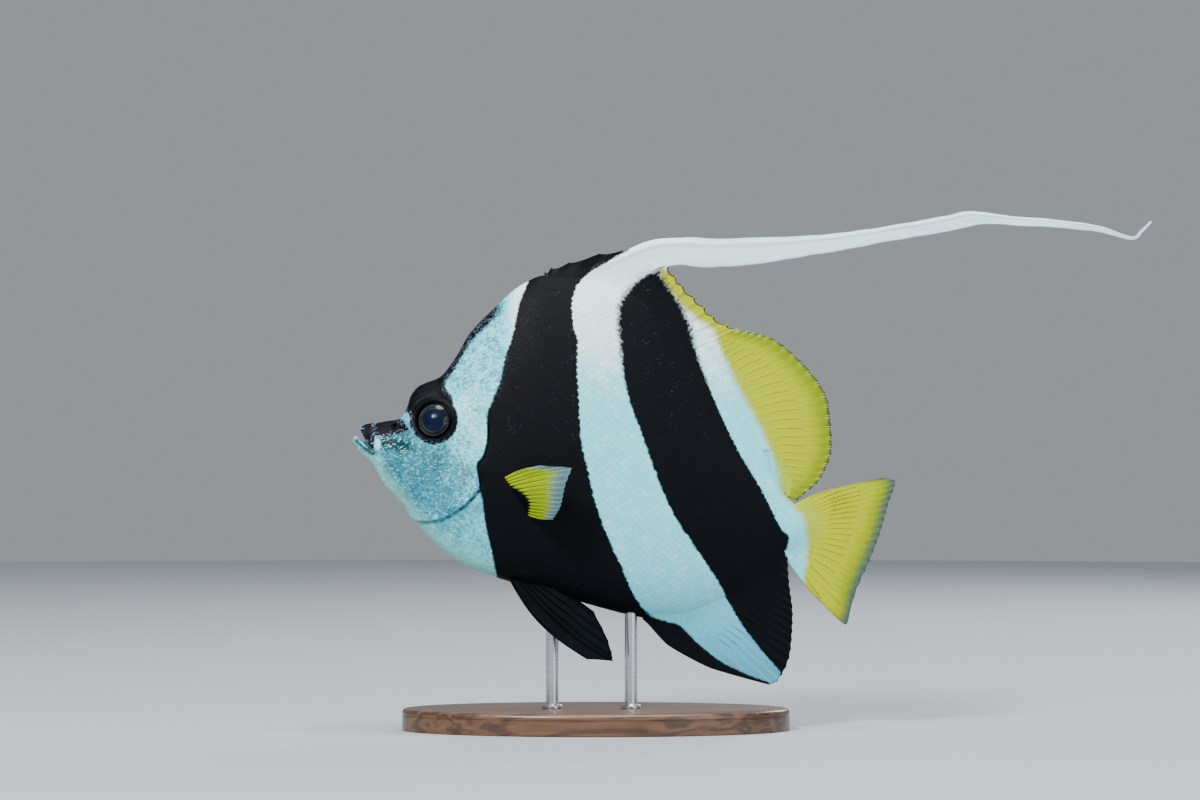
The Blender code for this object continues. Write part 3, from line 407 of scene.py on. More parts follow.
@dataclass(frozen=True)
class Markings:
    """Where the fish's colours lie on its side view, as fields that every piece is dressed from."""

    sharp: float = 0.45
    soft_top: float = 1.3
    yellow_soft: float = 1.4
    eye_ring: float = 7.8
    nape_depth: float = 2.6
    silver_reach: float = 50.0

    def fields(self, points: Array) -> dict[str, Array]:
        """Works out the colour fields at points of the fish.

        Args:
            points: rows of (x, y, z) in the fish's millimetres.

        Returns:
            Named arrays: black and yellow are above 0 inside their markings and reach 1 where
            the edge has faded out; the others are shares from 0 to 1.
        """
        x = points[:, 0]
        y = points[:, 1]
        z = points[:, 2]
        spots = points[:, [0, 2]]
        one = np.minimum(EdgeLine(BAND_ONE_FRONT).behind(x, z), -EdgeLine(BAND_ONE_REAR).behind(x, z))
        front = EdgeLine(BAND_TWO_FRONT).behind(x, z)
        rear = -EdgeLine(BAND_TWO_REAR).behind(x, z)
        blur = self.sharp + self.soft_top * ease(z, 88.0, 118.0)
        two = np.minimum(front / blur, rear / blur)
        head = np.full(len(x), -9.0)
        near = x < 62.0
        if near.any():
            close = spots[near]
            ring = self.eye_ring - np.hypot(close[:, 0] - EYE[0], close[:, 1] - EYE[1])
            nape = self.nape_depth - (TOP_LINE(close[:, 0]) - close[:, 1]) / np.hypot(1.0, 1.1)
            nape = np.minimum(nape, 1.0 - 2.0 * ease(close[:, 0], 42.0, 52.0)) * 0.6
            nape = np.where(close[:, 0] > 24.0, nape, -9.0)
            patches = [inside_distance(close, np.array(p)) for p in (FOREHEAD_PATCH, SNOUT_PATCH, JAW_PATCH)]
            head[near] = np.maximum.reduce([ring, nape] + patches)
        black = np.maximum.reduce([one / self.sharp, two, head / self.sharp])
        yellow = EdgeLine(YELLOW_EDGE).behind(x, z) / self.yellow_soft
        low = z - LOW_LINE(x)
        breast = np.ones(len(x))
        ahead = (x < 55.0) & (z < 92.0)
        breast[ahead] = 1.0 - 0.6 * ease(gill_distance(x[ahead], z[ahead]), 0.4, -0.6)
        inner = np.minimum((FORM.flank(x, z) - np.abs(y)) / 0.5, 12.0 - x)
        return {
            "black": np.clip(black, -4.0, 4.0),
            "yellow": np.clip(yellow, -4.0, 4.0),
            "silver": (1.0 - 0.85 * ease(x, self.silver_reach - 6.0, self.silver_reach + 4.0)) * breast,
            "cream": ease(low, 9.0, 0.5) * ease(x, 50.0, 44.0) * ease(z, 78.0, 72.0),
            "spangle": ease(x, 34.0, 22.0) * ease(z, 96.0, 89.0)
            + 0.40 * ease(x, 52.0, 44.0) * ease(z, 89.0, 96.0),
            "shade": self.smears(x, z),
            "blotch": hump(np.hypot(x - 35.5, (z - 68.1) * 0.8), 1.15)
            + 0.5 * hump(np.hypot(x - 34.8, z - 63.9), 1.2),
            "pale": np.maximum(
                ease(np.hypot((x - 8.3) / 1.1, (z - 76.9) / 1.9), 1.15, 0.75),
                0.5 * hump(x - 7.6, 0.16) * ease(z, 77.5, 78.5) * ease(z, 82.6, 81.0) * (np.abs(y) > 1.0),
            ),
            "gape": np.clip(inner - 1.4, 0.0, 1.0),
            "groove": self.fold_shades(x, z),
            "level": self.level(x, z),
            # Share of painted highlight specks on the black, growing toward the top where the light falls.
            "flecks": 0.25 + 0.75 * ease(z, 55.0, 105.0),
            # Painted shade under the light from above: bluer and darker toward the bottom.
            "azure": ease(z, 46.0, 4.0),
        }

    def level(self, x: Array, z: Array) -> Array:
        """Returns how light the pale skin is, from deep teal at 0 over cyan-white to bright at 1."""
        # Painted light from above: the flank's pale skin grows lighter toward the top.
        flank = 0.70 + 0.30 * ease(z, 84.0, 122.0)
        cheek = hump(np.hypot((x - 21.0) / 1.15, z - 65.5), 14.0)
        behind = ease(x, 29.0, 36.0) * ease(z, 67.0, 76.0) * ease(z, 101.0, 90.0)
        nape = ease(TOP_LINE(x) - z, 7.0, 2.0) * ease(x, 24.0, 30.0)
        head = 0.52 - 0.28 * cheek + 0.17 * behind - 0.14 * nape
        share = ease(x, 54.0, 46.0)
        return flank * (1.0 - share) + head * share

    def smears(self, x: Array, z: Array) -> Array:
        """Returns the dark cast under the eye and along the snout, which bright grains lie on."""
        under_eye = 0.50 * hump(np.hypot((x - 26.8) / 1.0, (z - 72.6) / 1.7), 3.4)
        middle = 78.6 - 0.24 * (x - 8.0)
        snout = 1.15 * hump((z - middle) / 3.2, 1.0) * ease(x, 8.6, 9.8) * ease(x, 24.0, 16.0)
        bridge = 0.85 * hump(np.hypot((x - 16.6) / 1.5, z - 81.4), 1.9)
        below = 0.35 * hump(z - middle + 5.5, 4.0) * ease(x, 9.0, 13.0) * ease(x, 30.0, 20.0)
        return np.maximum.reduce([under_eye, np.minimum(snout, 1.0), bridge, below])

    def fold_shades(self, x: Array, z: Array) -> Array:
        """Returns the painted shade in the deep folds: the gill slit and the fold under the lower lip."""
        result = np.zeros(len(x))
        near = x < 48.0
        if near.any():
            close_x = x[near]
            close_z = z[near]
            slit = hump(gill_distance(close_x, close_z) + 0.35, 0.55) * ease(close_z, 90.0, 82.0)
            slit = slit * (0.32 + 0.60 * ease(close_x, 33.0, 40.0)) * ease(close_x, 16.0, 24.0)
            spots = np.column_stack([close_x, close_z])
            wide = 0.28 + 0.24 * ease(close_x, 1.2, 5.0)
            fold = 0.95 * hump(path_distance(spots, curve_through(LIP_FOLD, 40)) / wide,
                1.0) * (close_x < 7.3)
            inner = 0.85 * hump(np.hypot((close_x - 1.7) / 1.3, close_z - 77.9), 0.62)
            result[near] = np.maximum.reduce([slit, fold, inner])
        return result


MARKINGS = Markings()


def set_field(mesh: bpy.types.Mesh, name: str, values: Array) -> None:
    """Stores one number for each point of a mesh under a name."""
    old = mesh.attributes.get(name)
    if old is not None:
        mesh.attributes.remove(old)
    attribute = mesh.attributes.new(name, "FLOAT", "POINT")
    attribute.data.foreach_set("value", np.ascontiguousarray(values, dtype=np.float32))


def set_vectors(mesh: bpy.types.Mesh, name: str, values: Array) -> None:
    """Stores one vector for each point of a mesh under a name."""
    attribute = mesh.attributes.new(name, "FLOAT_VECTOR", "POINT")
    attribute.data.foreach_set("vector", np.ascontiguousarray(values, dtype=np.float32).ravel())


def get_field(mesh: bpy.types.Mesh, name: str) -> Array:
    """Returns the numbers that a mesh holds under a name."""
    values = np.zeros(len(mesh.vertices), dtype=np.float32)
    mesh.attributes[name].data.foreach_get("value", values)
    return values.astype(float)


def get_vectors(mesh: bpy.types.Mesh, name: str) -> Array:
    """Returns the vectors that a mesh holds under a name, one row for each point."""
    values = np.zeros(3 * len(mesh.vertices), dtype=np.float32)
    mesh.attributes[name].data.foreach_get("vector", values)
    return values.astype(float).reshape(-1, 3)


def mesh_points(mesh: bpy.types.Mesh) -> Array:
    """Returns a mesh's points in metres, one row for each."""
    values = np.zeros(3 * len(mesh.vertices), dtype=np.float32)
    mesh.vertices.foreach_get("co", values)
    return values.astype(float).reshape(-1, 3)


def mesh_normals(mesh: bpy.types.Mesh) -> Array:
    """Returns the direction that a mesh faces at each of its points."""
    values = np.zeros(3 * len(mesh.vertices), dtype=np.float32)
    mesh.vertex_normals.foreach_get("vector", values)
    return values.astype(float).reshape(-1, 3)


def move_points(mesh: bpy.types.Mesh, points: Array) -> None:
    """Puts a mesh's points at the given places, in metres."""
    mesh.vertices.foreach_set("co", np.ascontiguousarray(points, dtype=np.float32).ravel())
    mesh.update()


def new_mesh(name: str, points: Array, faces: list, edges: list | None = None) -> bpy.types.Mesh:
    """Makes a mesh from points of the fish in millimetres."""
    mesh = bpy.data.meshes.new(name)
    mesh.from_pydata([tuple(p) for p in to_world(points)], edges or [], faces)
    mesh.update()
    return mesh


def thick_sheet(name: str, near: Array, far: Array) -> bpy.types.Mesh:
    """Makes a closed mesh from the two sides of a thin sheet.

    Args:
        name: the mesh's name.
        near: one side's points in the fish's millimetres, as (rows, columns, 3).
        far: the other side's points, likewise.
    """
    rows, columns = near.shape[:2]
    offset = rows * columns
    faces = []
    for i in range(rows - 1):
        for j in range(columns - 1):
            a = i * columns + j
            quad = (a, a + 1, a + columns + 1, a + columns)
            faces.append(quad)
            faces.append(tuple(corner + offset for corner in reversed(quad)))
    rim = [j for j in range(columns)]
    rim += [i * columns + columns - 1 for i in range(1, rows)]
    rim += [(rows - 1) * columns + j for j in range(columns - 2, -1, -1)]
    rim += [i * columns for i in range(rows - 2, 0, -1)]
    for i, a in enumerate(rim):
        b = rim[(i + 1) % len(rim)]
        faces.append((a, a + offset, b + offset, b))
    mesh = new_mesh(name, np.vstack([near.reshape(-1, 3), far.reshape(-1, 3)]), faces)
    face_outwards(mesh)
    mesh.shade_smooth()
    return mesh


def face_outwards(mesh: bpy.types.Mesh, weld: float = 0.0) -> None:
    """Welds a closed mesh's doubles and turns its faces outwards.

    Args:
        mesh: the mesh to mend.
        weld: the distance in metres within which points are joined, or nothing.
    """
    shape = bmesh.new()
    shape.from_mesh(mesh)
    if weld > 0.0:
        bmesh.ops.remove_doubles(shape, verts=shape.verts, dist=weld)
    bmesh.ops.recalc_face_normals(shape, faces=shape.faces)
    if shape.calc_volume(signed=True) < 0.0:
        bmesh.ops.reverse_faces(shape, faces=shape.faces)
    shape.to_mesh(mesh)
    shape.free()


def new_piece(name: str, mesh: bpy.types.Mesh) -> bpy.types.Object:
    """Puts a mesh in the scene as an object at the origin."""
    piece = bpy.data.objects.new(name, mesh)
    bpy.context.scene.collection.objects.link(piece)
    return piece


def declare(piece: bpy.types.Object, nodes: tuple[str, ...] = ()) -> None:
    """Fixes a finished piece to the model and says what it stands for.

    Args:
        piece: the finished object.
        nodes: the solids that it is shown in place of.
    """
    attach(piece, ROOT_BODY)
    if nodes:
        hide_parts(*nodes)
    triangles = sum(len(polygon.vertices) - 2 for polygon in piece.data.polygons)
    LOG.info("%s: %d triangles", piece.name, triangles)


def evaluated_mesh(piece: bpy.types.Object) -> bpy.types.Mesh:
    """Returns a piece's mesh with its modifiers worked in, as plain data of its own."""
    bpy.context.view_layer.update()
    depsgraph = bpy.context.evaluated_depsgraph_get()
    return bpy.data.meshes.new_from_object(piece.evaluated_get(depsgraph), depsgraph=depsgraph)


def settle(piece: bpy.types.Object) -> None:
    """Replaces a piece's mesh by the result of its modifiers."""
    result = evaluated_mesh(piece)
    piece.modifiers.clear()
    old = piece.data
    piece.data = result
    bpy.data.meshes.remove(old)


def paint(mesh: bpy.types.Mesh, where: Array | None = None) -> None:
    """Stores the fish's colour fields on a mesh.

    Args:
        mesh: the mesh, in metres.
        where: places in the fish's millimetres to read the fields at, or None for its own points.
    """
    spots = to_fish(mesh_points(mesh)) if where is None else where
    for name, values in MARKINGS.fields(spots).items():
        set_field(mesh, name, values)


class NodeBoard:
    """Adds the nodes of one material and joins them."""

    def __init__(self, name: str) -> None:
        """Starts a material of the given name with its Principled shader."""
        self.material = bpy.data.materials.new(name)
        self.material.use_nodes = True
        self.tree = self.material.node_tree
        self.shader = self.tree.nodes["Principled BSDF"]
        self.output = self.tree.nodes["Material Output"]
        self.place = self.add("ShaderNodeTexCoord").outputs["Object"]

    def add(self, kind: str, **settings: object) -> bpy.types.Node:
        """Adds a node and sets its own options."""
        node = self.tree.nodes.new(kind)
        for key, value in settings.items():
            setattr(node, key, value)
        return node

    def feed(self, socket: bpy.types.NodeSocket, value: object) -> None:
        """Joins a socket to another one, or sets it to a number, vector or colour."""
        if isinstance(value, bpy.types.NodeSocket):
            self.tree.links.new(value, socket)
        elif isinstance(value, tuple) and len(value) == 3 and socket.type == "RGBA":
            socket.default_value = (*value, 1.0)
        else:
            socket.default_value = value

    def math(self, operation: str, a: object, b: object = 0.0) -> bpy.types.NodeSocket:
        """Returns the result of one sum."""
        node = self.add("ShaderNodeMath", operation=operation)
        self.feed(node.inputs[0], a)
        self.feed(node.inputs[1], b)
        return node.outputs[0]

    def mix(self, share: object, a: object, b: object) -> bpy.types.NodeSocket:
        """Returns a colour that goes from a to b as share goes from 0 to 1."""
        node = self.add("ShaderNodeMix", data_type="RGBA")
        self.feed(node.inputs[0], share)
        self.feed(node.inputs[6], a)
        self.feed(node.inputs[7], b)
        return node.outputs[2]

    def fade(self, value: object, low: float, high: float, start: float = 0.0,
            end: float = 1.0) -> bpy.types.NodeSocket:
        """Returns a smooth step from start to end as value goes from low to high."""
        node = self.add("ShaderNodeMapRange", interpolation_type="SMOOTHSTEP")
        for socket, given in zip(node.inputs, (value, low, high, start, end)):
            self.feed(socket, given)
        return node.outputs[0]

    def noise(self, size: float, detail: float = 2.0,
            squash: tuple[float, float, float] = (1.0, 1.0, 1.0)) -> bpy.types.NodeSocket:
        """Returns a cloud pattern from 0 to 1.

        Args:
            size: the pattern's grain in millimetres.
            detail: how many finer layers it has.
            squash: how many times finer it is along each axis.
        """
        mapping = self.add("ShaderNodeMapping")
        self.feed(mapping.inputs["Vector"], self.place)
        mapping.inputs["Scale"].default_value = squash
        node = self.add("ShaderNodeTexNoise")
        self.feed(node.inputs["Vector"], mapping.outputs[0])
        node.inputs["Scale"].default_value = 1.0 / (size * MM)
        node.inputs["Detail"].default_value = detail
        return node.outputs["Fac"]

    def cells(self, size: float, squash: Colour = (1.0, 1.0, 1.0)) -> bpy.types.NodeSocket:
        """Returns a random shade for each of many small cells.

        Args:
            size: the cells' size in millimetres.
            squash: how many times finer they are along each axis.
        """
        mapping = self.add("ShaderNodeMapping")
        self.feed(mapping.inputs["Vector"], self.place)
        mapping.inputs["Rotation"].default_value = (0.0, 0.4, 0.0)
        mapping.inputs["Scale"].default_value = squash
        node = self.add("ShaderNodeTexVoronoi")
        self.feed(node.inputs["Vector"], mapping.outputs[0])
        node.inputs["Scale"].default_value = 1.0 / (size * MM)
        grey = self.add("ShaderNodeSeparateColor")
        self.feed(grey.inputs[0], node.outputs["Color"])
        return grey.outputs[0]

    def field(self, name: str) -> bpy.types.NodeSocket:
        """Returns the numbers that the mesh holds under a name."""
        return self.add("ShaderNodeAttribute", attribute_name=name).outputs["Fac"]

    def bump(self, height: bpy.types.NodeSocket, depth: float, strength: float = 1.0) -> None:
        """Gives the surface a relief of the given depth in millimetres."""
        node = self.add("ShaderNodeBump")
        self.feed(node.inputs["Height"], height)
        node.inputs["Distance"].default_value = depth * MM
        node.inputs["Strength"].default_value = strength
        self.feed(self.shader.inputs["Normal"], node.outputs[0])

    def surface(self, colour: object, roughness: object, **constants: float) -> bpy.types.Material:
        """Sets the shader's colour, roughness and constant sockets and returns the material."""
        self.feed(self.shader.inputs["Base Color"], colour)
        self.feed(self.shader.inputs["Roughness"], roughness)
        for key, value in constants.items():
            self.shader.inputs[key.replace("_", " ").title().replace("Ior", "IOR")].default_value = value
        return self.material


@dataclass(frozen=True)
class SkinFinish:
    """Scaled skin with white, blue-black and yellow markings and a silvery, grained head."""

    name: str = "fish_skin"
    # The lightest pale skin; the flank reaches it at its top as painted light from above.
    bright: Colour = (0.82, 0.98, 0.99)
    white: Colour = (0.18, 0.76, 0.85)
    dull: Colour = (0.038, 0.25, 0.34)
    deep: Colour = (0.015, 0.10, 0.14)
    # Bluer, darker pale skin toward the bottom, painted as shade under the light from above.
    azure: Colour = (0.045, 0.30, 0.50)
    black: Colour = (0.0, 0.0008, 0.0022)
    # Colour of the painted highlight specks on the black markings.
    fleck: Colour = (0.016, 0.022, 0.040)
    glint: Colour = (0.22, 0.28, 0.42)
    yellow: Colour = (0.42, 0.47, 0.0)
    cream: Colour = (0.22, 0.58, 0.46)
    spark: Colour = (0.52, 0.90, 0.91)
    pad: Colour = (0.34, 0.72, 0.80)
    teal: Colour = (0.002, 0.022, 0.028)
    brown: Colour = (0.24, 0.12, 0.11)
    gape: Colour = (0.020, 0.010, 0.012)
    # Colour of the painted shade in the deep folds of the head.
    fold: Colour = (0.003, 0.010, 0.016)
    ragged: float = 1.9
    roughness: float = 0.40

    def pale(self, board: NodeBoard, clouds: bpy.types.NodeSocket) -> bpy.types.NodeSocket:
        """Builds the colour between the bands: cyan-white flank with painted top light and low shade, and
        grained silver head.
        """
        silver = board.field("silver")
        light = board.math("ADD", board.field("level"), board.math("MULTIPLY", clouds, 0.22))
        tint = board.math("SUBTRACT", board.field("tint"), 0.5)
        light = board.math("ADD", light, board.math("MULTIPLY", tint, 0.10))
        for size, strength in ((0.75, 0.30), (0.45, 0.22)):
            grain = board.math("MULTIPLY", board.math("SUBTRACT", board.cells(size), 0.5), silver)
            light = board.math("ADD", light, board.math("MULTIPLY", grain, strength))
        broad = board.math("MULTIPLY", board.math("SUBTRACT", board.noise(7.0, 2.0), 0.5), silver)
        light = board.math("ADD", light, board.math("MULTIPLY", broad, 0.55))
        pale = board.mix(board.fade(light, 0.0, 0.33), self.deep, self.dull)
        pale = board.mix(board.fade(light, 0.33, 0.67), pale, self.white)
        pale = board.mix(board.fade(light, 0.67, 1.0), pale, self.bright)
        # Painted shade: the pale skin turns bluer and darker toward the bottom.
        pale = board.mix(board.math("MULTIPLY", board.field("azure"), 0.85), pale, self.azure)
        pale = board.mix(board.math("MULTIPLY", board.field("cream"), 0.8), pale, self.cream)
        cast = board.math("MULTIPLY", board.field("shade"),
            board.fade(board.noise(1.1, 3.0), 0.30, 0.55, 0.86, 1.0))
        pale = board.mix(cast, pale, self.teal)
        threads = board.cells(0.40, (0.62, 1.0, 1.7))
        crowd = board.math("ADD", threads, board.math("MULTIPLY", board.field("shade"), 0.10))
        sparkle = board.math("MULTIPLY", board.fade(crowd, 0.92, 0.99), silver)
        pale = board.mix(board.math("MULTIPLY", sparkle, 0.62), pale, self.spark)
        spots = board.math("MULTIPLY", board.field("blotch"), board.fade(board.noise(1.0), 0.35, 0.6))
        pale = board.mix(spots, pale, self.brown)
        return board.mix(board.field("pale"), pale, self.pad)

    def colour(self, board: NodeBoard) -> tuple[bpy.types.NodeSocket, bpy.types.NodeSocket]:
        """Builds the colour of the markings.

        Args:
            board: the material being made.

        Returns:
            The colour and the share of black.
        """
        clouds = board.math("SUBTRACT", board.noise(3.2, 3.0), 0.5)
        pale = self.pale(board, clouds)
        yellow = board.math("ADD", board.field("yellow"), board.math("MULTIPLY", clouds, 1.1))
        pale = board.mix(board.fade(yellow, -1.0, 1.0), pale, self.yellow)
        edge = board.math("MULTIPLY", board.math("SUBTRACT", board.noise(1.0, 3.0), 0.5), self.ragged)
        dark = board.fade(board.math("ADD", board.field("black"), edge), -0.8, 0.8)
        # Painted highlights: small pale specks on the black, more of them toward the top.
        highlight_specks = board.math("MULTIPLY", board.fade(board.cells(0.5), 0.88, 0.99),
            board.fade(board.noise(5.0), 0.45, 0.75))
        highlight_specks = board.math("MULTIPLY", highlight_specks, board.field("flecks"))
        ink = board.mix(highlight_specks, self.black, self.fleck)
        near_edge = board.math("MULTIPLY", board.fade(board.field("black"), 3.9, 0.3), board.field("spangle"))
        glints = board.math("MULTIPLY", near_edge, board.fade(board.cells(0.40), 0.66, 0.88))
        ink = board.mix(glints, ink, self.glint)
        shown = board.mix(dark, pale, ink)
        # Painted shade in the gill slit and the fold under the lower lip.
        shown = board.mix(board.field("groove"), shown, self.fold)
        return board.mix(board.field("gape"), shown, self.gape), dark

    def make(self) -> bpy.types.Material:
        """Makes the skin's material."""
        board = NodeBoard(self.name)
        colour, dark = self.colour(board)
        # Painted shade along each scale's border, left off the black markings.
        border = board.math("MULTIPLY", board.field("rim"),
            board.math("SUBTRACT", 0.20, board.math("MULTIPLY", dark, 0.20)))
        colour = board.mix(border, colour, self.dull)
        roughness = board.math("ADD", board.math("MULTIPLY", board.noise(0.9, 2.0), 0.24),
            self.roughness - 0.12)
        roughness = board.math("ADD", roughness, board.math("MULTIPLY", dark, 0.16))
        board.bump(board.noise(0.45, 3.0), 0.06, 0.6)
        return board.surface(colour, roughness, metallic=0.0, specular_ior_level=0.10)


@dataclass(frozen=True)
class FinFinish(SkinFinish):
    """Thin fin web and rays in the skin's markings, with painted shade in the folds, a greenish margin and
    pale ray tips.
    """

    name: str = "fish_fin"
    margin: Colour = (0.20, 0.27, 0.0)
    dark_edge: Colour = (0.045, 0.075, 0.03)
    blue_edge: Colour = (0.055, 0.100, 0.085)
    ray_tip: Colour = (0.60, 0.68, 0.30)
    tail_tip: Colour = (0.18, 0.27, 0.16)
    # Colour of the painted shade in the folds between the rays, also used for the darker ray joints.
    crease: Colour = (0.13, 0.16, 0.0)
    margin_width: float = 8.0

    def make(self) -> bpy.types.Material:
        """Makes the fin's material."""
        board = NodeBoard(self.name)
        colour, dark = self.colour(board)
        light = board.math("SUBTRACT", 1.0, dark)
        fringe = board.math("MULTIPLY", board.field("fringe"), light)
        ray = board.field("ray")
        margin = board.field("margin")
        wander = board.math("MULTIPLY", board.math("SUBTRACT", board.noise(2.2, 2.0), 0.5), 1.2)
        edge = board.math("ADD", margin, wander)
        # Painted shade in the folds between the rays.
        lines = board.math("MULTIPLY", board.field("between"), light)
        colour = board.mix(board.math("MULTIPLY", lines, board.fade(edge, 16.0, 2.0, 0.10, 0.60)), colour,
            self.crease)
        colour = board.mix(board.math("MULTIPLY", board.fade(edge, self.margin_width, 1.0), fringe), colour,
            self.margin)
        outer = board.mix(board.field("tail"), self.dark_edge, self.blue_edge)
        reach = board.math("ADD", board.math("MULTIPLY", board.field("tail"), 1.5), 0.9)
        share = board.math("DIVIDE", edge, reach)
        colour = board.mix(board.math("MULTIPLY", board.fade(share, 1.7, 0.1), fringe), colour, outer)
        tip = board.math("MULTIPLY", board.math("MULTIPLY", ray, board.fade(margin, 2.4, 1.2)), fringe)
        tip_colour = board.mix(board.field("tail"), self.ray_tip, self.tail_tip)
        colour = board.mix(board.math("MULTIPLY", tip, 0.85), colour, tip_colour)
        trim = board.math("MULTIPLY", board.field("trim"), board.fade(margin, 0.75, 0.35))
        colour = board.mix(board.math("MULTIPLY", trim, board.math("SUBTRACT", 1.0, ray)), colour, self.black)
        joints = board.math("MULTIPLY", board.fade(board.field("joint"), 0.82, 0.98), light)
        colour = board.mix(board.math("MULTIPLY", board.math("MULTIPLY", joints, ray), 0.20), colour,
            self.crease)
        roughness = board.math("ADD", board.math("MULTIPLY", board.noise(0.8, 2.0), 0.22), 0.40)
        board.bump(board.noise(0.6, 3.0, (1.0, 1.0, 1.6)), 0.05, 0.4)
        return board.surface(colour, roughness, metallic=0.0, specular_ior_level=0.10)


@dataclass(frozen=True)
class PectoralFinish:
    """The flared fin: black at its base, yellow with painted shade in the folds, pale blue-grey to its edge.
    """

    name: str = "pectoral_fin"
    black: Colour = (0.001, 0.002, 0.004)
    yellow: Colour = (0.34, 0.46, 0.0)
    # Colour of the painted shade in the folds between the rays.
    deep: Colour = (0.035, 0.065, 0.0)
    outer: Colour = (0.07, 0.15, 0.17)
    ray_tip: Colour = (0.22, 0.36, 0.38)

    def make(self) -> bpy.types.Material:
        """Makes the material."""
        board = NodeBoard(self.name)
        ray = board.field("ray")
        reach = board.math("ADD", board.field("reach"),
            board.math("MULTIPLY", board.math("SUBTRACT", board.noise(1.6), 0.5), 0.16))
        # Painted shade along the folds between the rays darkens the yellow web.
        lines = board.field("between")
        web = board.mix(board.math("MULTIPLY", lines, 0.9), self.yellow, self.deep)
        web = board.mix(ray, web, self.yellow)
        tip = board.mix(ray, self.outer, self.ray_tip)
        colour = board.mix(board.fade(reach, 0.60, 0.90), web, tip)
        # The black base runs further out along the folds, as painted shade.
        dark = board.fade(board.math("ADD", board.field("axil"), board.math("MULTIPLY", lines, -1.2)), 0.5,
            -0.5)
        colour = board.mix(dark, colour, self.black)
        roughness = board.math("ADD", board.math("MULTIPLY", board.noise(0.8), 0.2), 0.32)
        board.bump(board.noise(0.6, 3.0), 0.04, 0.4)
        return board.surface(colour, roughness, metallic=0.0, specular_ior_level=0.10)


@dataclass(frozen=True)
class SlateFinish:
    """Blue-black fin web and spines, paler where it is thin."""

    name: str = "slate_fin"
    deep: Colour = (0.0, 0.0005, 0.0010)
    thin: Colour = (0.001, 0.0035, 0.0055)

    def make(self) -> bpy.types.Material:
        """Makes the material."""
        board = NodeBoard(self.name)
        web = board.math("SUBTRACT", 1.0, board.field("ray"))
        share = board.math("MULTIPLY", board.fade(board.noise(5.0, 3.0), 0.2, 0.8), web)
        colour = board.mix(share, self.deep, self.thin)
        roughness = board.math("ADD", board.math("MULTIPLY", board.noise(0.9), 0.2), 0.46)
        board.bump(board.noise(0.7, 3.0), 0.05, 0.5)
        return board.surface(colour, roughness, metallic=0.0, specular_ior_level=0.045)


@dataclass(frozen=True)
class StreamerFinish:
    """White streamer with faint lengthwise streaks and bluish thin edges."""

    name: str = "streamer"
    white: Colour = (0.78, 0.96, 0.97)
    streak: Colour = (0.34, 0.74, 0.82)

    def make(self) -> bpy.types.Material:
        """Makes the material."""
        board = NodeBoard(self.name)
        grain = board.noise(6.0, 4.0, (0.22, 1.0, 3.2))
        edge = board.fade(board.field("edge"), 0.62, 1.0)
        share = board.math("MAXIMUM", board.fade(grain, 0.45, 0.85), board.math("MULTIPLY", edge, 0.7))
        colour = board.mix(share, self.white, self.streak)
        colour = board.mix(board.fade(board.field("lead"), -0.8, 0.8), colour, (0.0015, 0.0025, 0.0045))
        roughness = board.math("ADD", board.math("MULTIPLY", grain, 0.25), 0.28)
        board.bump(grain, 0.06, 0.6)
        return board.surface(colour, roughness, metallic=0.0, specular_ior_level=0.16)


@dataclass(frozen=True)
class MouthFinish:
    """Wet inner skin between the jaws, dark at its lower edge."""

    name: str = "mouth_lining"
    teal: Colour = (0.030, 0.100, 0.110)
    dark: Colour = (0.002, 0.004, 0.008)

    def make(self) -> bpy.types.Material:
        """Makes the material."""
        board = NodeBoard(self.name)
        height = board.math("ADD", board.field("height"),
            board.math("MULTIPLY", board.math("SUBTRACT", board.noise(0.9), 0.5), 0.25))
        colour = board.mix(board.fade(height, 0.22, 0.42), self.dark, self.teal)
        return board.surface(colour, 0.32, metallic=0.0, specular_ior_level=0.2)


@dataclass(frozen=True)
class EyeFinish:
    """Dark iris with thin golden-grey rings, a blue-black pupil and a black outer ring."""

    name: str = "eyeball"
    pupil: Colour = (0.0, 0.0045, 0.022)
    iris: Colour = (0.004, 0.005, 0.009)
    ring: Colour = (0.085, 0.080, 0.070)
    rim: Colour = (0.0, 0.0008, 0.002)

    def make(self) -> bpy.types.Material:
        """Makes the material from the eye's own radius field, in millimetres."""
        board = NodeBoard(self.name)
        radius = board.field("radius")
        wave = board.math("SINE",
            board.math("MULTIPLY",
            board.math("ADD", radius, board.math("MULTIPLY", board.noise(2.0), 0.25)), Eye.fold_rate))
        rings = board.math("MULTIPLY", board.fade(wave, 0.70, 1.0), board.fade(board.noise(3.2), 0.38, 0.62))
        colour = board.mix(rings, self.iris, self.ring)
        colour = board.mix(board.fade(radius, Eye.iris_radius - 0.25, Eye.iris_radius + 0.1), colour,
            self.rim)
        pupil = board.fade(radius, Eye.pupil_radius + 0.08, Eye.pupil_radius - 0.02)
        colour = board.mix(pupil, colour, self.pupil)
        return board.surface(colour, 0.5, metallic=0.0, specular_ior_level=0.05)


@dataclass(frozen=True)
class CorneaFinish:
    """Clear film over the eye that only shows the lights in it."""

    name: str = "cornea"
    index: float = 1.18

    def make(self) -> bpy.types.Material:
        """Makes the material: clear, with a sharp gloss."""
        board = NodeBoard(self.name)
        clear = board.add("ShaderNodeBsdfTransparent")
        gloss = board.add("ShaderNodeBsdfGlossy")
        gloss.inputs["Roughness"].default_value = 0.02
        share = board.add("ShaderNodeFresnel")
        share.inputs["IOR"].default_value = self.index
        both = board.add("ShaderNodeMixShader")
        board.feed(both.inputs[0], share.outputs[0])
        board.feed(both.inputs[1], clear.outputs[0])
        board.feed(both.inputs[2], gloss.outputs[0])
        board.feed(board.output.inputs["Surface"], both.outputs[0])
        board.tree.nodes.remove(board.shader)
        return board.material


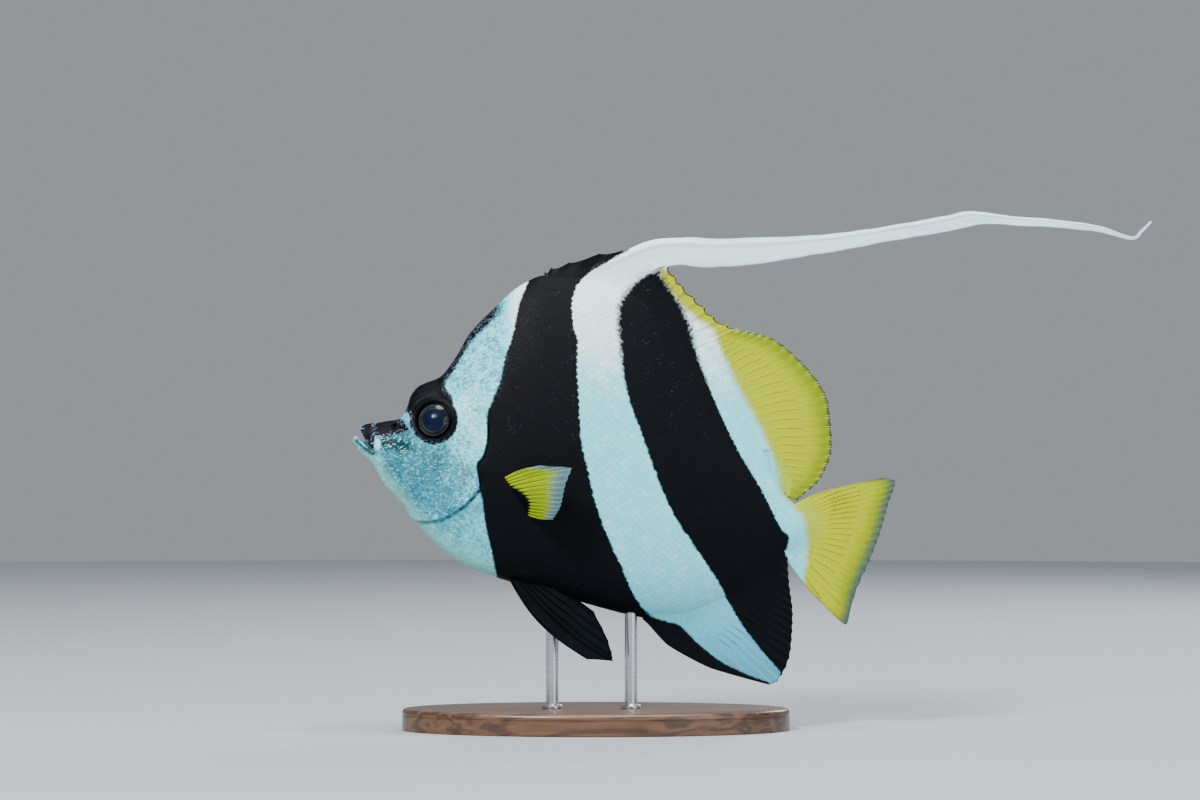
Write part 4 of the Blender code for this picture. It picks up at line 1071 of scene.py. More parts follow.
@dataclass(frozen=True)
class WoodFinish:
    """Dark satin wood with long grain along the base."""

    name: str = "base_wood"
    dark: Colour = (0.045, 0.020, 0.010)
    light: Colour = (0.150, 0.070, 0.032)

    def make(self) -> bpy.types.Material:
        """Makes the material."""
        board = NodeBoard(self.name)
        grain = board.noise(9.0, 5.0, (0.10, 1.0, 1.0))
        pores = board.noise(1.6, 3.0, (0.07, 1.0, 1.0))
        bands = board.math("SINE", board.math("MULTIPLY", grain, 42.0))
        share = board.math("ADD", board.fade(bands, -1.0, 1.0, 0.0, 0.62),
            board.fade(pores, 0.35, 0.75, 0.0, 0.38))
        colour = board.mix(share, self.dark, self.light)
        roughness = board.math("ADD", board.math("MULTIPLY", pores, 0.2), 0.28)
        board.bump(pores, 0.06, 0.5)
        return board.surface(colour, roughness, metallic=0.0, coat_weight=0.3, coat_roughness=0.18)


@dataclass(frozen=True)
class SteelFinish:
    """Brushed steel, turned round the rod."""

    name: str = "rod_steel"
    colour: Colour = (0.60, 0.60, 0.62)

    def make(self) -> bpy.types.Material:
        """Makes the material."""
        board = NodeBoard(self.name)
        brushed = board.noise(4.0, 2.0, (0.05, 0.05, 14.0))
        tone = board.mix(board.fade(brushed, 0.3, 0.8), self.colour, (0.48, 0.48, 0.50))
        roughness = board.math("ADD", board.math("MULTIPLY", brushed, 0.22), 0.18)
        board.bump(brushed, 0.015, 0.4)
        return board.surface(tone, roughness, metallic=1.0)


@dataclass
class Skin:
    """The one continuous skin of head, body and tail root, with every fold of the head."""

    front: float = 0.45
    bare_sink: float = 0.06
    coat_sink: float = SKIN_DEPTH
    ring_points: int = 184
    arc_share: float = 0.72
    lid_radius: float = 6.35
    lid_rise: float = 0.50
    weld: float = 0.00002

    def sink(self, x: Array) -> Array:
        """Returns how deep the skin lies under the solids' surface: deeper where scales cover it."""
        return self.bare_sink + (self.coat_sink - self.bare_sink) * ease(x, 9.5, 14.5)

    def stations(self) -> Array:
        """Returns the places of the rings, close together on the snout, head and tail root."""
        spacing = Line(((0.0, 0.14), (4.0, 0.30), (10.0, 0.42), (47.0, 0.46), (60.0, 1.05), (130.0, 1.05),
                        (141.0, 0.5), (145.6, 0.22)))
        places = [self.front]
        while places[-1] < FORM.length:
            places.append(places[-1] + float(spacing(places[-1])))
        return self.front + (np.array(places) - self.front) * (FORM.length - self.front) / (places[-1]
            - self.front)

    def turns(self) -> Array:
        """Returns the places round a ring, spread by the length of the ring at the deepest body."""
        half = self.ring_points // 2
        fine = np.linspace(0.0, math.pi, 2000)
        ring = FORM.ring(np.full(2000, 70.0), fine, self.coat_sink)
        run = np.concatenate([[0.0], np.cumsum(np.linalg.norm(np.diff(ring, axis=0), axis=1))])
        run = self.arc_share * run / run[-1] + (1.0 - self.arc_share) * fine / math.pi
        left = np.interp(np.linspace(0.0, 1.0, half + 1), run, fine)
        return np.concatenate([left, 2.0 * math.pi - left[-2::-1]])

    def wants_detail(self, spots: Array, level: int) -> Array:
        """Says which spots of the side view carry folds that need a finer mesh."""
        x = spots[:, 0]
        z = spots[:, 1]
        eye = np.hypot(x - EYE[0], z - EYE[1])
        wanted = (eye > 5.2) & (eye < 7.9 - 0.4 * level)
        for nostril_x, nostril_z, radius in NOSTRILS:
            wanted |= np.hypot(x - nostril_x, z - nostril_z) < radius + 1.1
        wanted |= (np.abs(gill_distance(x, z)) < 1.6 - 0.8 * level) & (z < 92.0)
        if level == 0:
            wanted |= x < 10.5
            wanted |= (x > 17.0) & (x < 33.0) & (eye > 7.0) & (z > 88.0)
        return wanted

    def sheet(self) -> tuple[Array, list]:
        """Makes the flat grid of (station, turn) with finer cells where folds lie.

        Returns:
            The grid's points as (station, turn) rows, and its faces.
        """
        xs = self.stations()
        turns = self.turns()
        columns = len(turns)
        shape = bmesh.new()
        corners = [shape.verts.new((x, turn, 0.0)) for x in xs for turn in turns]
        for i in range(len(xs) - 1):
            for j in range(columns - 1):
                a = i * columns + j
                shape.faces.new((corners[a], corners[a + 1], corners[a + columns + 1], corners[a + columns]))
        for level in range(2):
            shape.faces.ensure_lookup_table()
            centres = np.array([face.calc_center_median()[:2] for face in shape.faces])
            solid = FORM.ring(centres[:, 0], centres[:, 1], self.sink(centres[:, 0]))
            chosen = np.nonzero(self.wants_detail(solid[:, [0, 2]], level))[0]
            edges = list({edge for i in chosen for edge in shape.faces[i].edges})
            bmesh.ops.subdivide_edges(shape, edges=edges, cuts=1, use_grid_fill=True, use_single_edge=True)
        shape.verts.index_update()
        flat = np.array([vertex.co[:2] for vertex in shape.verts])
        faces = [tuple(vertex.index for vertex in face.verts) for face in shape.faces]
        shape.free()
        return flat, faces

    def relief(self, x: Array, z: Array) -> Array:
        """Returns how far the skin stands out, in millimetres, at spots of the side view."""
        gill = gill_distance(x, z)
        along = ease(z, 91.0, 84.0) * ease(x, 15.0, 21.0)
        cover = 0.25 + 0.70 * np.exp(-np.maximum(gill, 0.0) / 5.5)
        cover = cover * ease(gill, 24.0, 8.0) * ease(gill, -0.14, 0.14)
        slit = -0.75 * np.exp(-np.maximum(-gill, 0.0) / 0.65) * ease(gill, 0.14, -0.14)
        total = along * (cover + slit)
        cheek = curve_through(CHEEK_EDGE, 40)
        nearest = np.full(len(x), 9.0)
        close = (x > 12.0) & (x < 40.0) & (z < 92.0)
        if close.any():
            spots = np.column_stack([x[close], z[close]])
            nearest[close] = np.linalg.norm(spots[:, None, :] - cheek[None], axis=2).min(axis=1)
        total = total - 0.16 * hump(nearest, 0.55)
        eye = np.hypot(x - EYE[0], z - EYE[1])
        around = np.arctan2(z - EYE[1], x - EYE[0])
        total = total + self.lid_rise * hump(eye - self.lid_radius, 0.42)
        total = total - 0.22 * hump(eye - 7.6, 0.5)
        brow = ease(z, 88.0, 92.0) * ease(eye, 7.4, 8.2) * ease(eye, 14.0, 11.0)
        waver = 1.6 * np.sin(3.0 * around) + 1.1 * np.sin(7.0 * around + 1.0)
        total = total + 0.09 * brow * np.sin(eye * 5.4 + waver) * (0.6 + 0.4 * np.sin(5.0 * around + eye))
        for nostril_x, nostril_z, radius in NOSTRILS:
            away = np.hypot(x - nostril_x, z - nostril_z)
            total = total + 0.35 * hump(away - radius, 0.28) - 0.9 * ease(away, radius * 0.95, radius * 0.45)
        crease = np.abs(x - (7.65 + 0.03 * (80.0 - z)))
        total = total - 0.20 * hump(crease, 0.30) * ease(z, 75.0, 76.5)
        total = total + 0.22 * ease(x, 7.4, 6.4) * ease(z, 76.0, 78.0)
        total = total + 0.30 * hump(np.hypot((x - 8.35) / 1.0, (z - 76.6) / 1.9), 0.85)
        fold = path_distance(np.column_stack([x, z]), curve_through(LIP_FOLD, 40))
        total = total - 0.26 * hump(fold, 0.36) * (x < 7.4)
        return total

    def base_mesh(self) -> bpy.types.Mesh:
        """Makes the closed skin with its folds, before the mouth is opened."""
        flat, faces = self.sheet()
        solid = FORM.ring(flat[:, 0], flat[:, 1], self.sink(flat[:, 0]))
        mesh = new_mesh("skin", solid, faces)
        shape = bmesh.new()
        shape.from_mesh(mesh)
        bmesh.ops.remove_doubles(shape, verts=shape.verts, dist=self.weld)
        rims = [edge for edge in shape.edges if edge.is_boundary]
        bmesh.ops.holes_fill(shape, edges=rims, sides=0)
        bmesh.ops.recalc_face_normals(shape, faces=shape.faces)
        if shape.calc_volume(signed=True) < 0.0:
            bmesh.ops.reverse_faces(shape, faces=shape.faces)
        shape.to_mesh(mesh)
        shape.free()
        points = to_fish(mesh_points(mesh))
        normals = mesh_normals(mesh)
        rise = self.relief(points[:, 0], points[:, 2])
        eye = np.hypot(points[:, 0] - EYE[0], points[:, 2] - EYE[1])
        hollow = -3.4 * ease(eye, 5.95, 5.2) * (np.abs(points[:, 1]) > 4.0)
        points = points + normals * (rise + hollow)[:, None]
        move_points(mesh, to_world(points))
        return mesh

    def mouth_cutter(self) -> bpy.types.Object:
        """Makes the wedge between the jaws, with the hollow that it opens into."""
        lower = curve_through(MOUTH_LOWER_EDGE, 14)
        upper = curve_through(MOUTH_UPPER_EDGE, 14)
        outline = np.vstack([lower, upper])
        count = len(outline)
        depth = 9.0
        near = np.column_stack([outline[:, 0], np.full(count, -depth), outline[:, 1]])
        far = near * np.array([1.0, -1.0, 1.0])
        faces = [tuple(range(count)), tuple(range(2 * count - 1, count - 1, -1))]
        faces += [(i, (i + 1) % count, count + (i + 1) % count, count + i) for i in range(count)]
        mesh = new_mesh("mouth_wedge", np.vstack([near, far]), faces)
        face_outwards(mesh)
        return new_piece("mouth_wedge", mesh)

    def lip(self, name: str, path: Points) -> bpy.types.Object:
        """Makes one lip as a tapering roll that runs round the jaw from corner to corner.

        Args:
            name: the tool object's name.
            path: (x, y, z, radius) from the corner of the mouth to the middle of the jaw.
        """
        half = [(x, -y, z, radius) for x, y, z, radius in path]
        whole = half + [(x, -y, z, radius) for x, y, z, radius in reversed(half[:-1])]
        smooth = curve_through(tuple(whole), 91)
        sides = 26
        centre = smooth[:, :3]
        tangent = np.gradient(centre, axis=0)
        tangent /= np.linalg.norm(tangent, axis=1)[:, None]
        points = []
        for middle, run, radius in zip(centre, tangent, smooth[:, 3]):
            up = np.array([0.0, 0.0, 1.0]) - run * run[2]
            up /= np.linalg.norm(up)
            out = np.cross(run, up)
            for k in range(sides):
                turn = 2.0 * math.pi * k / sides
                points.append(middle + radius * (1.15 * math.cos(turn) * up + 0.95 * math.sin(turn) * out))
        faces = []
        for i in range(len(smooth) - 1):
            for k in range(sides):
                after = (k + 1) % sides
                faces.append((i * sides + k, i * sides + after, (i + 1) * sides + after, (i + 1) * sides + k))
        last = (len(smooth) - 1) * sides
        faces.append(tuple(range(sides)))
        faces.append(tuple(range(last + sides - 1, last - 1, -1)))
        mesh = new_mesh(name, np.array(points), faces)
        face_outwards(mesh)
        return new_piece(name, mesh)

    def combine(self, piece: bpy.types.Object, tools: list, operation: str) -> None:
        """Joins or cuts the skin by tool objects, which are then removed."""
        for tool in tools:
            modifier = piece.modifiers.new(tool.name, "BOOLEAN")
            modifier.operation = operation
            modifier.object = tool
            modifier.solver = "MANIFOLD" if operation == "UNION" else "EXACT"
        settle(piece)
        for tool in tools:
            bpy.data.objects.remove(tool)

    def soften(self, mesh: bpy.types.Mesh) -> None:
        """Rounds the seams that joining the lips leaves, without thinning the jaws."""
        shape = bmesh.new()
        shape.from_mesh(mesh)
        bmesh.ops.triangulate(shape, faces=[face for face in shape.faces if len(face.verts) > 4])
        bmesh.ops.remove_doubles(shape, verts=shape.verts, dist=0.00003)
        bmesh.ops.dissolve_degenerate(shape, dist=0.00002, edges=shape.edges)
        shape.to_mesh(mesh)
        shape.free()
        points = to_fish(mesh_points(mesh))
        ends = np.zeros(2 * len(mesh.edges), dtype=np.int32)
        mesh.edges.foreach_get("vertices", ends)
        first, second = ends.reshape(-1, 2).T
        degree = np.maximum(np.bincount(ends, minlength=len(points)), 1)[:, None]
        soft = (points[:, 0] < 9.0)[:, None]
        for step in (0.5, -0.52) * 6:
            total = np.zeros_like(points)
            np.add.at(total, first, points[second])
            np.add.at(total, second, points[first])
            points = points + soft * step * (total / degree - points)
        move_points(mesh, to_world(points))

    def build(self, finish: bpy.types.Material) -> bpy.types.Object:
        """Makes, paints and dresses the skin."""
        skin = new_piece("skin", self.base_mesh())
        self.combine(skin, [self.mouth_cutter()], "DIFFERENCE")
        upper = ((7.4, 3.8, 75.7, 0.45), (5.9, 3.4, 77.6, 0.75), (4.6, 2.7, 80.0, 1.0),
            (3.55, 0.0, 81.9, 1.15))
        lower = ((7.0, 3.9, 74.0, 0.45), (4.5, 3.3, 75.7, 0.70), (2.6, 2.1, 77.1, 0.85),
            (1.0, 0.0, 78.05, 0.88))
        self.combine(skin, [self.lip("upper_lip", upper), self.lip("lower_lip", lower)], "UNION")
        self.soften(skin.data)
        skin.data.shade_smooth()
        paint(skin.data)
        count = len(skin.data.vertices)
        set_field(skin.data, "tint", np.full(count, 0.5))
        set_field(skin.data, "rim", np.zeros(count))
        skin.data.materials.clear()
        skin.data.materials.append(finish)
        declare(skin, ("head", "torso", "tail_stalk"))
        return skin


@dataclass
class MouthLining:
    """The folded inner skin that closes the corners of the open mouth."""

    rear: float = 8.6
    overlap: float = 0.55
    inset: float = 0.42
    thickness: float = 0.28
    rows: int = 18
    columns: int = 61

    def side(self, inset: float) -> Array:
        """Returns the lining's outer or inner side as (rows, columns, 3) points."""
        lower = Line(MOUTH_LOWER_EDGE)
        upper = Line(tuple(reversed([(x, z) for x, z in MOUTH_UPPER_EDGE])))
        share = np.linspace(0.0, 1.0, self.rows)[:, None]
        turn = np.linspace(-0.5 * math.pi, 0.5 * math.pi, self.columns)[None]
        front = 3.2 + 1.25 * share + 0.45 * np.sin(math.pi * share)
        x = front + (self.rear - inset - front) * np.cos(turn) ** 0.75
        low = lower(x) - self.overlap
        high = np.maximum(upper(x), low + 1.2) + self.overlap
        z = low + (high - low) * share
        half = np.maximum(FORM.flank(x, 0.5 * (low + high)) - self.inset - inset, 0.2)
        y = half * np.sign(np.sin(turn)) * np.abs(np.sin(turn)) ** 0.6
        return np.stack([x, y, z], axis=-1)

    def build(self, finish: bpy.types.Material) -> None:
        """Makes the lining."""
        mesh = thick_sheet("mouth_lining", self.side(0.0), self.side(self.thickness))
        height = np.repeat(np.linspace(0.0, 1.0, self.rows)[:, None], self.columns, axis=1)
        set_field(mesh, "height", np.tile(height.ravel(), 2))
        mesh.materials.append(finish)
        declare(new_piece("mouth_lining", mesh))


class GeometryTree:
    """Builds one Geometry Nodes tree with named inputs."""

    def __init__(self, name: str) -> None:
        """Starts a tree with a geometry going in and one coming out."""
        self.tree = bpy.data.node_groups.new(name, "GeometryNodeTree")
        self.tree.interface.new_socket(name="Geometry", in_out="INPUT", socket_type="NodeSocketGeometry")
        self.tree.interface.new_socket(name="Geometry", in_out="OUTPUT", socket_type="NodeSocketGeometry")
        self.keys: dict[str, str] = {}
        self.start = self.tree.nodes.new("NodeGroupInput")
        self.end = self.tree.nodes.new("NodeGroupOutput")

    def input(self, name: str, kind: str) -> None:
        """Adds a named input of a socket kind, such as NodeSocketFloat."""
        socket = self.tree.interface.new_socket(name=name, in_out="INPUT", socket_type=kind)
        self.keys[name] = socket.identifier

    def add(self, kind: str, **settings: object) -> bpy.types.Node:
        """Adds a node and sets its own options."""
        node = self.tree.nodes.new(kind)
        for key, value in settings.items():
            setattr(node, key, value)
        return node

    def link(self, source: bpy.types.NodeSocket, target: bpy.types.NodeSocket) -> None:
        """Joins two sockets."""
        self.tree.links.new(source, target)

    def named(self, name: str, kind: str = "FLOAT") -> bpy.types.NodeSocket:
        """Returns the field that the geometry holds under a name."""
        node = self.add("GeometryNodeInputNamedAttribute", data_type=kind)
        node.inputs["Name"].default_value = name
        return next(socket for socket in node.outputs if socket.enabled and socket.name == "Attribute")

    def shown(self, sockets: object, name: str) -> bpy.types.NodeSocket:
        """Returns the socket of that name that the node's options leave in use."""
        return next(socket for socket in sockets if socket.enabled and socket.name == name)

    def finish(self, last: bpy.types.NodeSocket) -> None:
        """Ends the tree in real meshes that carry the given material."""
        real = self.add("GeometryNodeRealizeInstances")
        dressed = self.add("GeometryNodeSetMaterial")
        self.link(last, real.inputs["Geometry"])
        self.link(real.outputs[0], dressed.inputs["Geometry"])
        self.link(self.start.outputs["Material"], dressed.inputs["Material"])
        self.link(dressed.outputs[0], self.end.inputs[0])

    def grow(self, name: str, seed_mesh: bpy.types.Mesh, **values: object) -> bpy.types.Object:
        """Runs the tree on a mesh and returns the plain result as a new piece.

        Args:
            name: the piece's name.
            seed_mesh: the points or lines that the tree works from.
            values: the named inputs' values, with _ for a space.
        """
        piece = new_piece(name, seed_mesh)
        modifier = piece.modifiers.new("grow", "NODES")
        modifier.node_group = self.tree
        for key, value in values.items():
            modifier[self.keys[key.replace("_", " ").title()]] = value
        settle(piece)
        return piece


@dataclass
class ScaleCoat:
    """Thin overlapping scales, set in staggered rows that follow the body's lie."""

    length: float = 1.75
    half_width: float = 0.60
    tilt: float = 0.072
    dome: float = 0.028
    root_depth: float = 0.034
    spacing: float = 0.64
    rows: int = 4
    columns: int = 5
    fin_height: float = 0.75
    seed: int = 11

    def scale_shape(self) -> bpy.types.Object:
        """Makes one scale, a pitch wide and lens-thin, with its lift, rim and patch fields."""
        t = np.linspace(0.0, 1.0, self.rows)
        s = np.linspace(-1.0, 1.0, self.columns)
        points = []
        lifts = []
        rims = []
        for along in t:
            for across in s:
                reach = self.length - 0.50 * across * across
                width = self.half_width * (0.72 + 0.28 * math.sin(math.pi * min(along * 0.8 + 0.1, 1.0)))
                points.append((along * reach, across * width, 0.0))
                dome = self.dome * (1.0 - across * across) * math.sin(math.pi * min(along + 0.12, 1.0))
                lifts.append(-self.root_depth + self.tilt * along + dome)
                # The rim share grows toward the scale's border, where the skin material paints shade.
                rims.append(max(abs(across) ** 3, along ** 6))
        faces = []
        for i in range(self.rows - 1):
            for j in range(self.columns - 1):
                a = i * self.columns + j
                faces.append((a, a + self.columns, a + self.columns + 1, a + 1))
        ring = [j for j in range(self.columns)]
        ring += [i * self.columns + self.columns - 1 for i in range(1, self.rows)]
        ring += [(self.rows - 1) * self.columns + j for j in range(self.columns - 2, -1, -1)]
        ring += [i * self.columns for i in range(self.rows - 2, 0, -1)]
        centre = len(points)
        points.append((0.55 * self.length, 0.0, 0.0))
        lifts.append(-self.root_depth + 0.1 * self.tilt)
        rims.append(0.0)
        faces += [(centre, ring[i], ring[(i + 1) % len(ring)]) for i in range(len(ring))]
        mesh = bpy.data.meshes.new("scale_shape")
        mesh.from_pydata(points, [], faces)
        mesh.update()
        border = {frozenset((ring[i], ring[(i + 1) % len(ring)])) for i in range(len(ring))}
        sharp = mesh.attributes.new("sharp_edge", "BOOLEAN", "EDGE")
        sharp.data.foreach_set("value", [frozenset(edge.vertices) in border for edge in mesh.edges])
        places = np.array(points)
        set_field(mesh, "lift", np.array(lifts))
        set_field(mesh, "rim", np.array(rims))
        patch = places / np.array([self.length, 2.0 * self.half_width, 1.0]) - np.array([0.5, 0.0, 0.0])
        set_vectors(mesh, "patch", patch)
        return new_piece("scale_shape", mesh)

    def tree(self) -> GeometryTree:
        """Builds the tree that sets a scale on each point and bends it to the surface below."""
        board = GeometryTree("scale_rows")
        for name, kind in (("Scale Shape", "NodeSocketObject"), ("Guide", "NodeSocketObject"),
                           ("Turn", "NodeSocketFloat"), ("Height", "NodeSocketFloat"),
                           ("Seed", "NodeSocketInt"),
                           ("Material", "NodeSocketMaterial")):
            board.input(name, kind)
        shape = board.add("GeometryNodeObjectInfo")
        guide = board.add("GeometryNodeObjectInfo")
        board.link(board.start.outputs["Scale Shape"], shape.inputs["Object"])
        board.link(board.start.outputs["Guide"], guide.inputs["Object"])
        axes = board.add("FunctionNodeAxesToRotation", primary_axis="Z", secondary_axis="X")
        board.link(board.named("facing", "FLOAT_VECTOR"), axes.inputs["Primary Axis"])
        board.link(board.named("lie", "FLOAT_VECTOR"), axes.inputs["Secondary Axis"])
        chance = board.add("FunctionNodeRandomValue", data_type="FLOAT")
        negative = board.add("ShaderNodeMath", operation="MULTIPLY")
        negative.inputs[1].default_value = -1.0
        board.link(board.start.outputs["Turn"], negative.inputs[0])
        board.link(negative.outputs[0], board.shown(chance.inputs, "Min"))
        board.link(board.start.outputs["Turn"], board.shown(chance.inputs, "Max"))
        board.link(board.start.outputs["Seed"], chance.inputs["Seed"])
        about = board.add("ShaderNodeCombineXYZ")
        board.link(board.shown(chance.outputs, "Value"), about.inputs["Z"])
        small = board.add("FunctionNodeEulerToRotation")
        board.link(about.outputs[0], small.inputs[0])
        turned = board.add("FunctionNodeRotateRotation", rotation_space="LOCAL")
        board.link(axes.outputs[0], turned.inputs["Rotation"])
        board.link(small.outputs[0], turned.inputs["Rotate By"])
        placed = board.add("GeometryNodeInstanceOnPoints")
        board.link(board.start.outputs["Geometry"], placed.inputs["Points"])
        board.link(shape.outputs["Geometry"], placed.inputs["Instance"])
        board.link(turned.outputs[0], placed.inputs["Rotation"])
        board.link(board.named("size"), placed.inputs["Scale"])
        real = board.add("GeometryNodeRealizeInstances")
        board.link(placed.outputs[0], real.inputs["Geometry"])
        near = board.add("GeometryNodeProximity", target_element="FACES")
        board.link(guide.outputs["Geometry"], near.inputs["Geometry"])
        facing = board.add("GeometryNodeSampleNearestSurface", data_type="FLOAT_VECTOR")
        board.link(guide.outputs["Geometry"], facing.inputs["Mesh"])
        board.link(board.named("skin_facing", "FLOAT_VECTOR"), board.shown(facing.inputs, "Value"))
        rise = board.add("ShaderNodeMath", operation="MULTIPLY")
        board.link(board.named("lift"), rise.inputs[0])
        board.link(board.named("size"), rise.inputs[1])
        high = board.add("ShaderNodeMath", operation="MULTIPLY")
        board.link(rise.outputs[0], high.inputs[0])
        board.link(board.start.outputs["Height"], high.inputs[1])
        out = board.add("ShaderNodeVectorMath", operation="SCALE")
        board.link(board.shown(facing.outputs, "Value"), out.inputs[0])
        board.link(high.outputs[0], out.inputs["Scale"])
        total = board.add("ShaderNodeVectorMath", operation="ADD")
        board.link(near.outputs["Position"], total.inputs[0])
        board.link(out.outputs[0], total.inputs[1])
        moved = board.add("GeometryNodeSetPosition")
        board.link(real.outputs[0], moved.inputs["Geometry"])
        board.link(total.outputs[0], moved.inputs["Position"])
        smooth = board.add("GeometryNodeSetShadeSmooth")
        board.link(moved.outputs[0], smooth.inputs["Geometry"])
        board.finish(smooth.outputs[0])
        return board

    def pitch(self, x: Array) -> Array:
        """Returns the width of a scale at a station of the fish, in millimetres."""
        return Line(((8.0, 0.95), (20.0, 1.15), (40.0, 1.35), (50.0, 1.8), (62.0, 2.25), (90.0, 2.3),
            (112.0, 2.0),
                     (132.0, 1.5), (145.0, 1.2)))(x)

    def body_rows(self, side: Side) -> dict[str, Array]:
        """Sets out the roots on one side of the body.

        Returns:
            place, lie, size and unwrap for each root, in the fish's millimetres.
        """
        rng = np.random.default_rng(self.seed + int(side.value))
        places = []
        lies = []
        sizes = []
        unwraps = []
        x = 9.0
        column = 0
        while x < FORM.length - 0.8:
            pitch = float(self.pitch(x))
            half = np.linspace(0.0, math.pi, 400)
            ring = FORM.ring(np.full(400, x), half, 0.0)
            ring[:, 1] = side.value * np.abs(ring[:, 1])
            run = np.concatenate([[0.0], np.cumsum(np.linalg.norm(np.diff(ring, axis=0), axis=1))])
            middle = float(np.interp(0.5 * math.pi, half, run))
            for direction in (-1.0, 1.0):
                limit = middle if direction < 0 else run[-1] - middle
                away = 0.5 * pitch * (column % 2)
                if direction > 0 and column % 2 == 0:
                    away = pitch
                while away < limit - 0.15:
                    share = away / limit
                    local = pitch * (1.0 - 0.42 * share ** 2.5)
                    arc = middle + direction * away
                    place = np.array([np.interp(arc, run, ring[:, k]) for k in range(3)])
                    edge = TOP_LINE if direction < 0 else LOW_LINE
                    axis = float(WIDEST_LEVEL(x + 2.0) - WIDEST_LEVEL(x - 2.0)) / 4.0
                    slope = float(edge(x + 1.5) - edge(x - 1.5)) / 3.0
                    blend = share ** 2
                    angle = math.atan(axis) * (1.0 - blend) + blend * max(-0.9, min(0.9, math.atan(slope)))
                    places.append(place + rng.normal(0.0, 0.05 * local, 3) * np.array([1.0, 0.0, 1.0]))
                    lies.append((math.cos(angle), 0.0, math.sin(angle)))
                    sizes.append(local * rng.uniform(0.95, 1.06))
                    unwraps.append((0.02 + 0.96 * x / FORM.length,
                        0.25 + 0.25 * side.value + 0.02 + 0.46 * arc / run[-1]))
                    away += local
            x += self.spacing * pitch
            column += 1
        return {"place": np.array(places), "lie": np.array(lies), "size": np.array(sizes),
            "unwrap": np.array(unwraps)}

    def bare(self, place: Array, size: Array) -> Array:
        """Says which roots fall where the fish has no scales, or across the gill cover's edge."""
        x = place[:, 0]
        z = place[:, 2]
        eye = np.hypot(x - EYE[0], z - EYE[1])
        bare = eye < 8.1
        for nostril_x, nostril_z, radius in NOSTRILS:
            bare |= np.hypot(x - nostril_x, z - nostril_z) < radius + 1.3
        bare |= (x < 11.5) | ((x < 21.5) & (z > 82.0))
        bare |= (x < 31.0) & (z > 89.0)
        gill = gill_distance(x, z)
        bare |= (z < 90.0) & (gill > -0.15) & (gill < 1.75 * size * 0.9)
        return bare

    def seed_points(self, name: str, rows: dict[str, Array], normals: Array) -> bpy.types.Mesh:
        """Makes the mesh of loose points that the tree sets scales on."""
        mesh = bpy.data.meshes.new(name)
        mesh.from_pydata([tuple(p) for p in to_world(rows["place"])], [], [])
        rng = np.random.default_rng(self.seed + len(rows["size"]))
        set_vectors(mesh, "facing", normals)
        set_vectors(mesh, "lie", rows["lie"])
        set_vectors(mesh, "root", rows["place"])
        unwrap = np.column_stack([rows["unwrap"], np.zeros(len(rows["size"]))])
        set_vectors(mesh, "unwrap", unwrap)
        set_field(mesh, "size", rows["size"] * MM)
        set_field(mesh, "tint", rng.uniform(0.0, 1.0, len(rows["size"])))
        return mesh

    def dress(self, piece: bpy.types.Object) -> None:
        """Paints the scales partly by where their roots are, and lays out their bake map."""
        mesh = piece.data
        root = get_vectors(mesh, "root")
        own = to_fish(mesh_points(mesh))
        paint(mesh, 0.25 * root + 0.75 * own)
        set_field(mesh, "gape", np.zeros(len(mesh.vertices)))
        set_field(mesh, "groove", np.zeros(len(mesh.vertices)))
        if piece.name.startswith("caudal"):
            set_field(mesh, "black", np.full(len(mesh.vertices), -4.0))
        spots = get_vectors(mesh, "unwrap") + get_vectors(mesh, "patch") * BAKE_PATCH
        for name in ("root", "unwrap", "patch", "facing", "lie", "size", "lift"):
            attribute = mesh.attributes.get(name)
            if attribute is not None:
                mesh.attributes.remove(attribute)
        corners = np.zeros(len(mesh.loops), dtype=np.int32)
        mesh.loops.foreach_get("vertex_index", corners)
        layer = mesh.uv_layers.new(name=BAKE_MAP)
        layer.data.foreach_set("uv", spots[corners, :2].astype(np.float32).ravel())

    def fin_rows(self, patch: Array, outside: Array, reach: float, pitch: float) -> dict[str, Array]:
        """Sets out the roots on the scaled base of a fin, on both of its faces.

        Args:
            patch: the fin's middle surface as (outward, across, 3) points.
            outside: how far each of those points lies outside the body.
            reach: how far out the scales go.
            pitch: the width of a scale where they begin.

        Returns:
            place, lie, size, unwrap and facing for each root.
        """
        rng = np.random.default_rng(self.seed + int(100.0 * reach))
        level = np.argmin(np.abs(outside - 1.0), axis=0)
        base = patch[level, np.arange(patch.shape[1])]
        across = np.concatenate([[0.0], np.cumsum(np.linalg.norm(np.diff(base, axis=0), axis=1))])
        rows = {"place": [], "lie": [], "size": [], "unwrap": [], "facing": []}
        spots = np.arange(0.3 * pitch, across[-1] - 0.1 * pitch, 0.5 * pitch)
        places = np.interp(spots, across, np.arange(len(across)))
        levels = np.arange(len(patch), dtype=float)
        centre = patch[:, patch.shape[1] // 2]
        run = np.concatenate([[0.0], np.cumsum(np.linalg.norm(np.diff(centre, axis=0), axis=1))])
        chosen = patch[:, np.round(places).astype(int)]
        gaps = np.linalg.norm(np.diff(chosen, axis=1), axis=2)
        gaps = np.column_stack([gaps, gaps[:, -1]])
        rungs = [0.0]
        while rungs[-1] < run[-1]:
            usual = 2.0 * float(np.interp(rungs[-1], run, gaps.mean(axis=1)))
            rungs.append(rungs[-1] + self.spacing * float(np.clip(usual, 0.7 * pitch, 1.4 * pitch)))
        for number, spot in enumerate(spots):
            line = chosen[:, number]
            other = chosen[len(line) // 3, number + 1 if number + 1 < len(places) else number - 1]
            ragged = reach * rng.uniform(0.85, 1.05)
            for rung in rungs[number % 2::2]:
                level = float(np.interp(rung, run, levels))
                out = float(np.interp(level, levels, outside[:, int(round(places[number]))]))
                if not -2.5 < out < ragged or level > 0.42 * len(patch):
                    continue
